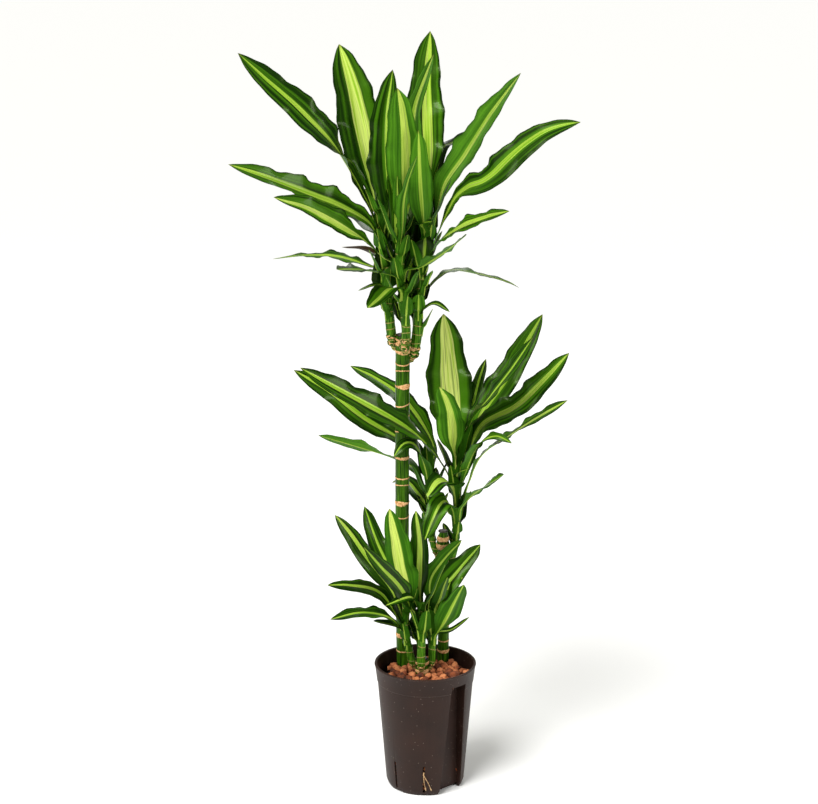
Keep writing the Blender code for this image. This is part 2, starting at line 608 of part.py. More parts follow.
def main():
    clear_scene()
    parts = new_collection("potted_corn_plant")
    cutters = new_collection("cutters", helper=True)
    materials = {name: new_material(name, *finish) for name, finish in FINISHES.items()}
    make_pot(parts, cutters, materials["pot"])
    make_clay(parts, cutters, materials["clay"])
    make_root(parts, cutters, materials["root"])
    clearances = {}
    for cane in CANES:
        clearances[cane.name] = make_cane(cane, parts, cutters, materials)
    stems = {}
    for shoot in SHOOTS:
        make_shoot(shoot, parts, clearances, materials)
        stems[shoot.name] = shoot
    counts = {}
    for leaf in LEAVES:
        counts[leaf.shoot] = counts.get(leaf.shoot, 0) + 1
        name = leaf.shoot.replace("shoot", "leaf") + f"_{counts[leaf.shoot]}"
        make_leaf(name, leaf, stems[leaf.shoot], parts, materials["leaf"])


main()
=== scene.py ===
"""Looks of a potted corn plant: three wax-sealed canes with striped leaves in a hydroculture pot.

Metres, +Z up, +X to the plant's right, -Y towards its front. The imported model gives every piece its
place and size: leaf blades follow the margins of their own nodes, stems follow the middles of theirs.
Lengths in the tables are in millimetres. `across` runs from -1 to 1 over a leaf, from its left margin
to its right one, and `along` from 0 at its foot to 1 at its tip.
"""

from __future__ import annotations

import logging
import math
import random
from dataclasses import dataclass, field
from enum import Enum
from typing import Any, Iterable, Sequence

import bmesh
import bpy
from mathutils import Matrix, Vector, noise
from mathutils.bvhtree import BVHTree
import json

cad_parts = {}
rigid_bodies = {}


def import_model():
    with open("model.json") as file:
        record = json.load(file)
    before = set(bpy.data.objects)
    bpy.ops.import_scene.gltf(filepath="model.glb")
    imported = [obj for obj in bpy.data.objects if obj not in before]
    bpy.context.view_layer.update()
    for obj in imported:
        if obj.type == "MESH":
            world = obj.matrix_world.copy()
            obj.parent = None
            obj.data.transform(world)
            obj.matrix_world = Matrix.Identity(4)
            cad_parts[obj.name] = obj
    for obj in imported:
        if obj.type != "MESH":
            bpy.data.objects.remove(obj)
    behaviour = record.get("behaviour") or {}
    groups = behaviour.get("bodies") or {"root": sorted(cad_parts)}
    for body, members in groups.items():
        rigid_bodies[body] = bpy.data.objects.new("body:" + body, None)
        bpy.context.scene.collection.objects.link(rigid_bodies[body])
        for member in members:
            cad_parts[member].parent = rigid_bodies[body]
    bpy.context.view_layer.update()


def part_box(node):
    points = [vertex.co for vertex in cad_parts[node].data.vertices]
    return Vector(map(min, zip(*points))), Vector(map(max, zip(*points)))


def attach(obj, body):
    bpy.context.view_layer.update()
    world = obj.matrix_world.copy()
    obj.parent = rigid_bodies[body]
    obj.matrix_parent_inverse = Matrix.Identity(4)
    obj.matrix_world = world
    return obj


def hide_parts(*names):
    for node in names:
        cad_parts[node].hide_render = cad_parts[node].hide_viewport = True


log = logging.getLogger("potted_corn_plant")

MM = 0.001
FULL_TURN = 2 * math.pi


def linear(hex_colour: str) -> tuple[float, float, float, float]:
    """Turn an sRGB hex colour into the linear values that shaders take.

    Args:
        hex_colour: Six hex digits after a hash.

    Returns:
        Linear red, green and blue, and an alpha of 1.
    """
    channels = []
    for start in (1, 3, 5):
        value = int(hex_colour[start:start + 2], 16) / 255
        channels.append(value / 12.92 if value <= 0.04045 else ((value + 0.055) / 1.055) ** 2.4)
    return (channels[0], channels[1], channels[2], 1.0)


def add_node(tree: bpy.types.NodeTree, kind: str, settings: dict[Any, Any] | None = None,
             links: dict[Any, bpy.types.NodeSocket] | None = None) -> bpy.types.Node:
    """Add a node with its settings and its incoming links.

    Args:
        tree: Node tree that takes the node.
        kind: Blender's type name, after "ShaderNode".
        settings: Values by property name, by input name or number, or `stops` for a colour ramp.
        links: Sockets that feed the inputs, by input name or number.

    Returns:
        The new node.
    """
    node = tree.nodes.new(f"ShaderNode{kind}")
    for key, value in (settings or {}).items():
        if key == "stops":
            while len(node.color_ramp.elements) < len(value):
                node.color_ramp.elements.new(1.0)
            for element, (place, colour) in zip(node.color_ramp.elements, value):
                element.position = place
                element.color = linear(colour) if isinstance(colour, str) else (colour,) * 3 + (1.0,)
        elif isinstance(key, str) and hasattr(node, key):
            setattr(node, key, value)
        else:
            node.inputs[key].default_value = value
    for key, source in (links or {}).items():
        tree.links.new(source, node.inputs[key])
    return node


def per_metre(size: float) -> float:
    """Scale of a pattern, in repeats for each metre, from the size of one repeat in millimetres."""
    return 1 / (size * MM)


@dataclass(frozen=True)
class Finish:
    """A real material with its surface. Each kind adds its own nodes in `dress`."""

    name: str
    ior: float = 1.5
    coat: float = 0.0
    coat_roughness: float = 0.1
    gloss_tint: str = "#FFFFFF"

    def dress(self, tree: bpy.types.NodeTree, shader: bpy.types.Node) -> None:
        """Link this finish's own pattern to the shader."""
        raise NotImplementedError

    def material(self) -> bpy.types.Material:
        """Return this finish's Blender material, made the first time it is asked for."""
        found = bpy.data.materials.get(self.name)
        if found:
            return found
        material = bpy.data.materials.new(self.name)
        material.use_nodes = True
        tree = material.node_tree
        shader = tree.nodes["Principled BSDF"]
        shader.inputs["IOR"].default_value = self.ior
        shader.inputs["Coat Weight"].default_value = self.coat
        shader.inputs["Coat Roughness"].default_value = self.coat_roughness
        shader.inputs["Specular Tint"].default_value = linear(self.gloss_tint)
        self.dress(tree, shader)
        return material


@dataclass(frozen=True)
class MouldedPolypropylene(Finish):
    """Injection-moulded polypropylene: an even brown-black skin, eggshell sheen, faint pale specks."""

    colour: str = "#20110B"
    lighter: str = "#2A1811"
    speck: str = "#85776E"
    # Colour of the lighter edge line: partly rubbed wear, partly a painted highlight
    worn: str = "#6F5F55"
    speck_size: float = 1.6
    cloud_size: float = 45.0
    skin_grain: float = 0.9

    def dress(self, tree: bpy.types.NodeTree, shader: bpy.types.Node) -> None:
        """Lay a slow cloud of tone, sparse dust specks, a lighter line on the rounded edges that is
        partly rubbed wear and partly a painted highlight, and a fine moulded grain.
        """
        place = add_node(tree, "TexCoord").outputs["Object"]
        cloud = add_node(tree, "TexNoise", {"Scale": per_metre(self.cloud_size), "Detail": 3.0},
                         {"Vector": place})
        tone = add_node(tree, "ValToRGB", {"stops": ((0.35, self.colour), (0.7, self.lighter))},
                        {"Fac": cloud.outputs["Fac"]})
        dust = add_node(tree, "TexVoronoi", {"Scale": per_metre(self.speck_size * 4)},
                        {"Vector": place})
        specks = add_node(tree, "ValToRGB", {"stops": ((0.06, 1.0), (0.11, 0.0))},
                          {"Fac": dust.outputs["Distance"]})
        faint = add_node(tree, "Math", {"operation": "MULTIPLY", 1: 0.6},
                         {0: specks.outputs["Color"]})
        mixed = add_node(tree, "MixRGB", {"Color2": linear(self.speck)},
                         {"Fac": faint.outputs[0], "Color1": tone.outputs["Color"]})
        # Lighter line on the rounded edges: partly rubbed wear, partly a painted highlight where the
        # rim would catch light
        edge = add_node(tree, "Attribute", {"attribute_name": "worn_edge"})
        lit_wear_mask = add_node(tree, "Math", {"operation": "MULTIPLY"},
                          {0: edge.outputs["Fac"], 1: cloud.outputs["Fac"]})
        mixed = add_node(tree, "MixRGB", {"Color2": linear(self.worn)},
                         {"Fac": lit_wear_mask.outputs[0], "Color1": mixed.outputs["Color"]})
        tree.links.new(mixed.outputs["Color"], shader.inputs["Base Color"])
        rough = add_node(tree, "MapRange", {"To Min": 0.42, "To Max": 0.6},
                         {"Value": cloud.outputs["Fac"]})
        tree.links.new(rough.outputs["Result"], shader.inputs["Roughness"])
        grain = add_node(tree, "TexNoise", {"Scale": per_metre(self.skin_grain), "Detail": 2.0},
                         {"Vector": place})
        bump = add_node(tree, "Bump", {"Strength": 0.12, "Distance": 0.1 * MM},
                        {"Height": grain.outputs["Fac"]})
        tree.links.new(bump.outputs["Normal"], shader.inputs["Normal"])


@dataclass(frozen=True)
class FiredClay(Finish):
    """Expanded clay, rolled and kiln-fired: a dusty terracotta skin, speckled and finely pitted."""

    # Darkest tone: the pebbles' own darker clay, and on the core the painted shade between the pebbles
    dark: str = "#2A1208"
    body: str = "#8A4521"
    light: str = "#C97D4D"
    patch_size: float = 9.0
    grit: float = 1.4

    def dress(self, tree: bpy.types.NodeTree, shader: bpy.types.Node) -> None:
        """Vary the tone from pebble to pebble, speckle it and pit the skin."""
        place = add_node(tree, "TexCoord").outputs["Object"]
        patch = add_node(tree, "TexNoise", {"Scale": per_metre(self.patch_size), "Detail": 4.0},
                         {"Vector": place})
        # Each pebble's own tone; on the core this value is low, which paints it dark as shade
        own = add_node(tree, "Attribute", {"attribute_name": "pebble_tone"})
        tone = add_node(tree, "Math", {"operation": "MULTIPLY_ADD", 1: 0.55},
                        {0: own.outputs["Fac"], 2: patch.outputs["Fac"]})
        colour = add_node(tree, "ValToRGB",
                          {"stops": ((0.35, self.dark), (0.72, self.body), (1.1, self.light))},
                          {"Fac": tone.outputs[0]})
        grit = add_node(tree, "TexNoise", {"Scale": per_metre(self.grit), "Detail": 3.0},
                        {"Vector": place})
        shade = add_node(tree, "MapRange", {"From Min": 0.35, "From Max": 0.6, "To Min": 0.62},
                         {"Value": grit.outputs["Fac"]})
        mixed = add_node(tree, "MixRGB", {"blend_type": "MULTIPLY", "Fac": 0.8},
                         {"Color1": colour.outputs["Color"], "Color2": shade.outputs["Result"]})
        tree.links.new(mixed.outputs["Color"], shader.inputs["Base Color"])
        shader.inputs["Roughness"].default_value = 0.88
        bump = add_node(tree, "Bump", {"Strength": 0.8, "Distance": 0.8 * MM},
                        {"Height": grit.outputs["Fac"]})
        tree.links.new(bump.outputs["Normal"], shader.inputs["Normal"])


@dataclass(frozen=True)
class LivingStem(Finish):
    """Living Dracaena bark: waxy green with lighter streaks up the stem, corky tan leaf scars."""

    deep: str = "#0C2A03"
    fresh: str = "#3D670F"
    cork: str = "#DDAE7C"
    cork_dark: str = "#A06A3C"
    streak_width: float = 2.2
    streak_length: float = 40.0
    cork_grain: float = 2.0

    def dress(self, tree: bpy.types.NodeTree, shader: bpy.types.Node) -> None:
        """Streak the green lengthwise, then let cork in wherever `scar` says there is a scar."""
        place = add_node(tree, "TexCoord").outputs["Object"]
        drawn = add_node(tree, "Mapping",
                         {"Scale": (per_metre(self.streak_width), per_metre(self.streak_width),
                                    per_metre(self.streak_length))}, {"Vector": place})
        streaks = add_node(tree, "TexNoise", {"Scale": 1.0, "Detail": 3.0},
                           {"Vector": drawn.outputs["Vector"]})
        green = add_node(tree, "ValToRGB", {"stops": ((0.36, self.deep), (0.66, self.fresh))},
                         {"Fac": streaks.outputs["Fac"]})
        grain = add_node(tree, "TexNoise", {"Scale": per_metre(self.cork_grain), "Detail": 4.0},
                         {"Vector": place})
        cork = add_node(tree, "ValToRGB", {"stops": ((0.36, self.cork_dark), (0.56, self.cork))},
                        {"Fac": grain.outputs["Fac"]})
        scar = add_node(tree, "Attribute", {"attribute_name": "scar"})
        ragged = add_node(tree, "Math", {"operation": "MULTIPLY_ADD", 1: 0.7},
                          {0: grain.outputs["Fac"], 2: scar.outputs["Fac"]})
        mask = add_node(tree, "MapRange", {"From Min": 0.78, "From Max": 0.92},
                        {"Value": ragged.outputs[0]})
        mixed = add_node(tree, "MixRGB", {},
                         {"Fac": mask.outputs["Result"], "Color1": green.outputs["Color"],
                          "Color2": cork.outputs["Color"]})
        tree.links.new(mixed.outputs["Color"], shader.inputs["Base Color"])
        rough = add_node(tree, "MapRange", {"To Min": 0.3, "To Max": 0.85},
                         {"Value": mask.outputs["Result"]})
        tree.links.new(rough.outputs["Result"], shader.inputs["Roughness"])
        ridges = add_node(tree, "MixRGB", {},
                          {"Fac": mask.outputs["Result"], "Color1": streaks.outputs["Fac"],
                           "Color2": grain.outputs["Fac"]})
        bump = add_node(tree, "Bump", {"Strength": 0.4, "Distance": 0.4 * MM},
                        {"Height": ridges.outputs["Color"]})
        tree.links.new(bump.outputs["Normal"], shader.inputs["Normal"])


@dataclass(frozen=True)
class LeafCuticle(Finish):
    """Dracaena leaf: smooth wax over green tissue, with lime stripes that fine green lines break up."""

    dark: str = "#0A2502"
    green: str = "#3B6B0A"
    lime: str = "#6F9A1C"
    pale: str = "#9DBB40"
    cream: str = "#D0DC78"
    dry: str = "#2F1D0F"
    roughness: tuple[float, float] = (0.24, 0.4)
    streaks_across: float = 9.0
    lines_across: float = 26.0
    veins_across: float = 60.0

    def dress(self, tree: bpy.types.NodeTree, shader: bpy.types.Node) -> None:
        """Paint the stripes from the leaf's own across and along, and raise its parallel veins."""
        spot = add_node(tree, "SeparateXYZ", {}, {"Vector": add_node(
            tree, "Attribute", {"attribute_name": "leaf_spot"}).outputs["Vector"]})
        band = add_node(tree, "SeparateXYZ", {}, {"Vector": add_node(
            tree, "Attribute", {"attribute_name": "leaf_band"}).outputs["Vector"]})
        across, along, seed = spot.outputs
        centre, half_width, dry_share = band.outputs
        patterns = []
        for count, stretch in ((self.streaks_across, 1.2), (self.lines_across, 2.0),
                               (self.veins_across, 3.0)):
            wide = add_node(tree, "Math", {"operation": "MULTIPLY", 1: count / 2}, {0: across})
            far = add_node(tree, "Math", {"operation": "MULTIPLY", 1: stretch}, {0: along})
            drawn = add_node(tree, "CombineXYZ", {}, {"X": wide.outputs[0], "Y": far.outputs[0],
                                                      "Z": seed})
            patterns.append(add_node(tree, "TexNoise", {"Scale": 1.0, "Detail": 2.0},
                                     {"Vector": drawn.outputs["Vector"]}).outputs["Fac"])
        streaks, lines, veins = patterns
        off = add_node(tree, "Math", {"operation": "SUBTRACT"}, {0: across, 1: centre})
        off = add_node(tree, "Math", {"operation": "ABSOLUTE"}, {0: off.outputs[0]})
        off = add_node(tree, "Math", {"operation": "DIVIDE"}, {0: off.outputs[0], 1: half_width})
        edge = add_node(tree, "Math", {"operation": "MULTIPLY_ADD", 1: 1.3},
                        {0: streaks, 2: off.outputs[0]})
        inside = add_node(tree, "MapRange", {"From Min": 1.62, "From Max": 1.42},
                          {"Value": edge.outputs[0]})
        unbroken = add_node(tree, "MapRange", {"From Min": 0.62, "From Max": 0.55, "To Min": 0.4},
                            {"Value": lines})
        lime_mask = add_node(tree, "Math", {"operation": "MULTIPLY"},
                             {0: inside.outputs["Result"], 1: unbroken.outputs["Result"]})
        margin = add_node(tree, "Math", {"operation": "ABSOLUTE"}, {0: across})
        depth = add_node(tree, "MapRange", {"From Min": 0.86, "From Max": 1.0, "To Max": -0.35},
                         {"Value": margin.outputs[0]})
        own = add_node(tree, "Attribute", {"attribute_name": "leaf_tone"})
        tissue = add_node(tree, "Math", {"operation": "ADD"},
                          {0: streaks, 1: depth.outputs["Result"]})
        tissue = add_node(tree, "Math", {"operation": "ADD"},
                          {0: tissue.outputs[0], 1: own.outputs["Fac"]})
        greens = add_node(tree, "ValToRGB", {"stops": ((0.38, self.dark), (0.66, self.green))},
                          {"Fac": tissue.outputs[0]})
        breadth = add_node(tree, "MapRange", {"From Min": 0.2, "From Max": 0.5, "To Max": 0.27},
                           {"Value": half_width})
        brighter = add_node(tree, "Math", {"operation": "ADD"},
                            {0: lines, 1: breadth.outputs["Result"]})
        limes = add_node(tree, "ValToRGB", {"stops": ((0.38, self.lime), (0.58, self.pale),
                                                      (0.78, self.cream))},
                         {"Fac": brighter.outputs[0]})
        striped = add_node(tree, "MixRGB", {},
                           {"Fac": lime_mask.outputs[0], "Color1": greens.outputs["Color"],
                            "Color2": limes.outputs["Color"]})
        reach = add_node(tree, "Math", {"operation": "ADD"}, {0: along, 1: dry_share})
        withered = add_node(tree, "MapRange", {"From Min": 0.98, "From Max": 1.02},
                            {"Value": reach.outputs[0]})
        mixed = add_node(tree, "MixRGB", {"Color2": linear(self.dry)},
                         {"Fac": withered.outputs["Result"], "Color1": striped.outputs["Color"]})
        tree.links.new(mixed.outputs["Color"], shader.inputs["Base Color"])
        rough = add_node(tree, "MapRange", {"To Min": self.roughness[0], "To Max": self.roughness[1]},
                         {"Value": streaks})
        tree.links.new(rough.outputs["Result"], shader.inputs["Roughness"])
        bump = add_node(tree, "Bump", {"Strength": 0.35, "Distance": 0.25 * MM}, {"Height": veins})
        tree.links.new(bump.outputs["Normal"], shader.inputs["Normal"])


@dataclass(frozen=True)
class PouredWax(Finish):
    """Sealing wax, poured over the cane's cut: nearly black, softly glossy and a little uneven."""

    colour: str = "#1E1713"
    lighter: str = "#3A2A20"
    mottle: float = 4.0

    def dress(self, tree: bpy.types.NodeTree, shader: bpy.types.Node) -> None:
        """Mottle the wax and dimple its skin."""
        place = add_node(tree, "TexCoord").outputs["Object"]
        mottle = add_node(tree, "TexNoise", {"Scale": per_metre(self.mottle), "Detail": 2.0},
                          {"Vector": place})
        tone = add_node(tree, "ValToRGB", {"stops": ((0.4, self.colour), (0.7, self.lighter))},
                        {"Fac": mottle.outputs["Fac"]})
        tree.links.new(tone.outputs["Color"], shader.inputs["Base Color"])
        shader.inputs["Roughness"].default_value = 0.35
        bump = add_node(tree, "Bump", {"Strength": 0.3, "Distance": 0.4 * MM},
                        {"Height": mottle.outputs["Fac"]})
        tree.links.new(bump.outputs["Normal"], shader.inputs["Normal"])


@dataclass(frozen=True)
class DriedRoot(Finish):
    """A dried root: pale straw with darker joints, dull and fibrous."""

    colour: str = "#C9A779"
    darker: str = "#8C6A45"
    fibre: float = 1.5

    def dress(self, tree: bpy.types.NodeTree, shader: bpy.types.Node) -> None:
        """Darken the root in short bands."""
        place = add_node(tree, "TexCoord").outputs["Object"]
        bands = add_node(tree, "TexNoise", {"Scale": per_metre(self.fibre * 2), "Detail": 3.0},
                         {"Vector": place})
        tone = add_node(tree, "ValToRGB", {"stops": ((0.35, self.darker), (0.6, self.colour))},
                        {"Fac": bands.outputs["Fac"]})
        tree.links.new(tone.outputs["Color"], shader.inputs["Base Color"])
        shader.inputs["Roughness"].default_value = 0.8
        bump = add_node(tree, "Bump", {"Strength": 0.4, "Distance": 0.2 * MM},
                        {"Height": bands.outputs["Fac"]})
        tree.links.new(bump.outputs["Normal"], shader.inputs["Normal"])


POT_PLASTIC = MouldedPolypropylene("moulded_polypropylene", ior=1.3)
PEBBLE_CLAY = FiredClay("fired_expanded_clay", ior=1.45)
# The thin wax on living tissue takes on its green, so these finishes tint their own gloss
TISSUE_TINT = "#C6F07A"
CANE_BARK = LivingStem("living_cane_bark", ior=1.25, coat=0.05, coat_roughness=0.2,
                       gloss_tint=TISSUE_TINT)
SHOOT_SKIN = LivingStem("living_shoot_skin", ior=1.25, coat=0.04, coat_roughness=0.25,
                        gloss_tint=TISSUE_TINT, deep="#143B07", fresh="#588B1E", cork="#979B58",
                        streak_width=1.8, streak_length=30.0)
UPPER_CUTICLE = LeafCuticle("waxy_upper_cuticle", ior=1.3, coat=0.1, coat_roughness=0.12,
                            gloss_tint=TISSUE_TINT)
UNDER_CUTICLE = LeafCuticle("matte_under_cuticle", ior=1.25, gloss_tint=TISSUE_TINT,
                            dark="#265209", green="#4A8018", lime="#7BA02C", pale="#AAC14E",
                            cream="#CAD86C", roughness=(0.5, 0.62))
SEALING_WAX = PouredWax("poured_sealing_wax", coat=0.1)
ROOT_SKIN = DriedRoot("dried_root_skin")


def new_piece(name: str, mesh: bpy.types.Mesh, finishes: Sequence[Finish],
              crease: float = 40.0) -> bpy.types.Object:
    """Link a mesh to the scene as a smooth piece in its finishes.

    Args:
        name: The piece's name.
        mesh: Its closed mesh, in the frame's own metres.
        finishes: One finish for each material index of the mesh.
        crease: Angle in degrees from which an edge stays sharp.

    Returns:
        The new object.
    """
    piece = bpy.data.objects.new(name, mesh)
    bpy.context.scene.collection.objects.link(piece)
    for finish in finishes:
        mesh.materials.append(finish.material())
    mesh.shade_smooth()
    mesh.set_sharp_from_angle(angle=math.radians(crease))
    return piece


def fit_in(piece: bpy.types.Object, nodes: Iterable[str] = ()) -> None:
    """Fix a piece to the plant's one body and hide the nodes that it stands for.

    Args:
        piece: The piece.
        nodes: Names of the nodes that it replaces.
    """
    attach(piece, "root")
    names = list(nodes)
    if names:
        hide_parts(*names)
    log.info("%s: %d faces", piece.name, len(piece.data.polygons))


def nodes_named(prefix: str) -> list[str]:
    """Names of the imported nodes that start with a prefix."""
    return [obj.name for obj in bpy.data.objects if obj.name.startswith(prefix)
            and obj.type == "MESH"]


def welded(node: bpy.types.Object) -> bmesh.types.BMesh:
    """A bmesh copy of a node in which the corners that its faces share are one vertex each."""
    body = bmesh.new()
    body.from_mesh(node.data)
    bmesh.ops.remove_doubles(body, verts=body.verts, dist=0.002 * MM)
    return body


def closed_mesh(name: str, points: Sequence[Vector], faces: Sequence[Sequence[int]],
                materials: Sequence[int] | None = None) -> bpy.types.Mesh:
    """A mesh from points and faces whose normals all point outwards.

    Args:
        name: The mesh's name.
        points: Corners.
        faces: Corner numbers of each face.
        materials: Material index of each face.

    Returns:
        The new mesh.
    """
    mesh = bpy.data.meshes.new(name)
    mesh.from_pydata([tuple(point) for point in points], [], faces)
    if materials:
        mesh.polygons.foreach_set("material_index", materials)
    body = bmesh.new()
    body.from_mesh(mesh)
    bmesh.ops.recalc_face_normals(body, faces=body.faces)
    body.to_mesh(mesh)
    body.free()
    return mesh


def tube_faces(rings: int, sides: int, first: int = 0) -> list[tuple[int, ...]]:
    """Four-cornered faces of a tube whose corners are numbered ring after ring.

    Args:
        rings: How many rings of corners it has.
        sides: Corners in each ring.
        first: Number of its first corner.

    Returns:
        The faces.
    """
    faces = []
    for ring in range(rings - 1):
        start = first + ring * sides
        for side in range(sides):
            after = (side + 1) % sides
            faces.append((start + side, start + after, start + sides + after, start + sides + side))
    return faces


def through(knots: Sequence[Vector], place: float) -> Vector:
    """Point on the smooth curve through evenly spaced knots.

    Args:
        knots: The curve's knots.
        place: 0 at the first knot, 1 at the last.

    Returns:
        The point there.
    """
    steps = len(knots) - 1
    index = min(int(place * steps), steps - 1)
    t = place * steps - index
    start, end = knots[index], knots[index + 1]
    before = knots[index - 1] if index else 2 * start - end
    after = knots[index + 2] if index + 2 <= steps else 2 * end - start
    return 0.5 * (2 * start + (end - before) * t + (2 * before - 5 * start + 4 * end - after) * t ** 2
                  + (3 * start - before - 3 * end + after) * t ** 3)


@dataclass(frozen=True)
class Softbox:
    """A square soft light: where it hangs, the length of its side in metres and its watts."""

    name: str
    place: tuple[float, float, float]
    side: float
    power: float


@dataclass
class Studio:
    """A pale floor, soft lights round the plant and the camera."""

    floor_size: float = 60.0
    floor_colour: str = "#F4F4F2"
    camera_place: tuple[float, float, float] = (-0.024, -3.2, 1.45)
    camera_pitch: float = 74.9
    lens: float = 101.97
    key_strength: float = 3.6
    key_width: float = 30.0
    key_aim: tuple[float, float, float] = (0.45, 0.65, -0.95)
    sky_colour: str = "#FFFDF6"
    sky_strength: float = 0.26
    softboxes: tuple[Softbox, ...] = (Softbox("left_softbox", (-2.0, -1.2, 1.7), 1.2, 26.0),
                                      Softbox("right_softbox", (2.1, -1.3, 1.3), 1.0, 30.0),
                                      Softbox("back_softbox", (0.6, 2.4, 2.2), 1.2, 14.0))
    softbox_target: tuple[float, float, float] = (0.0, 0.0, 0.6)

    def build(self) -> None:
        """Set up the floor, the lights, the sky and the camera."""
        self._floor()
        self._sky()
        self._sun()
        for softbox in self.softboxes:
            self._hang(softbox)
        camera = bpy.data.cameras.new("camera")
        camera.lens = self.lens
        holder = bpy.data.objects.new("camera", camera)
        holder.location = self.camera_place
        holder.rotation_euler = (math.radians(self.camera_pitch), 0.0, 0.0)
        bpy.context.scene.collection.objects.link(holder)
        bpy.context.scene.camera = holder
        bpy.context.scene.view_settings.view_transform = "Standard"

    def _floor(self) -> None:
        """Lay the pale floor that the pot stands on."""
        half = self.floor_size / 2
        mesh = bpy.data.meshes.new("studio_floor")
        mesh.from_pydata([(-half, -half, 0), (half, -half, 0), (half, half, 0), (-half, half, 0)],
                         [], [(0, 1, 2, 3)])
        floor = bpy.data.objects.new("studio_floor", mesh)
        bpy.context.scene.collection.objects.link(floor)
        paper = bpy.data.materials.new("matte_paper_backdrop")
        paper.use_nodes = True
        shader = paper.node_tree.nodes["Principled BSDF"]
        shader.inputs["Base Color"].default_value = linear(self.floor_colour)
        shader.inputs["Roughness"].default_value = 0.9
        mesh.materials.append(paper)

    def _sun(self) -> None:
        """Hang the wide key light, which brightens the whole floor evenly."""
        lamp = bpy.data.lights.new("key_light", "SUN")
        lamp.energy = self.key_strength
        lamp.angle = math.radians(self.key_width)
        holder = bpy.data.objects.new("key_light", lamp)
        holder.rotation_euler = Vector(self.key_aim).to_track_quat("-Z", "Y").to_euler()
        bpy.context.scene.collection.objects.link(holder)

    def _sky(self) -> None:
        """Fill the studio with even white light, and let what shows past the floor be as pale."""
        world = bpy.data.worlds.new("studio_air")
        world.use_nodes = True
        tree = world.node_tree
        air = tree.nodes["Background"]
        air.inputs["Color"].default_value = linear(self.sky_colour)
        seen = add_node(tree, "LightPath").outputs["Is Camera Ray"]
        strength = add_node(tree, "MapRange", {"To Min": self.sky_strength}, {"Value": seen})
        tree.links.new(strength.outputs["Result"], air.inputs["Strength"])
        bpy.context.scene.world = world

    def _hang(self, softbox: Softbox) -> None:
        """Hang a softbox so that it faces the middle of the plant."""
        lamp = bpy.data.lights.new(softbox.name, "AREA")
        lamp.size = softbox.side
        lamp.energy = softbox.power
        holder = bpy.data.objects.new(softbox.name, lamp)
        holder.location = softbox.place
        aim = Vector(self.softbox_target) - Vector(softbox.place)
        holder.rotation_euler = aim.to_track_quat("-Z", "Y").to_euler()
        bpy.context.scene.collection.objects.link(holder)


@dataclass
class CulturePot:
    """The moulded pot: its node's shape with softened edges."""

    node: str = "culture_pot"
    edge_radius: float = 0.45
    sharp_from: float = math.radians(35)
    flat_within: float = math.radians(0.5)

    def build(self) -> None:
        """Weld the node's faces, round its edges a little and put it in plastic."""
        body = welded(bpy.data.objects[self.node])
        bmesh.ops.dissolve_limit(body, angle_limit=self.flat_within, verts=body.verts,
                                 edges=body.edges)
        corners = [edge for edge in body.edges
                   if len(edge.link_faces) == 2 and edge.calc_face_angle() > self.sharp_from]
        # The rounded faces take the lighter edge line, partly wear and partly a painted highlight
        worn = body.faces.layers.float.new("worn_edge")
        rounded = bmesh.ops.bevel(body, geom=corners, offset=self.edge_radius * MM, segments=2,
                                  profile=0.6, affect="EDGES", clamp_overlap=True)
        for face in rounded["faces"]:
            face[worn] = 1.0
        mesh = bpy.data.meshes.new("moulded_pot")
        body.to_mesh(mesh)
        body.free()
        pot = new_piece("moulded_pot", mesh, (POT_PLASTIC,), crease=30.0)
        fit_in(pot, (self.node,))


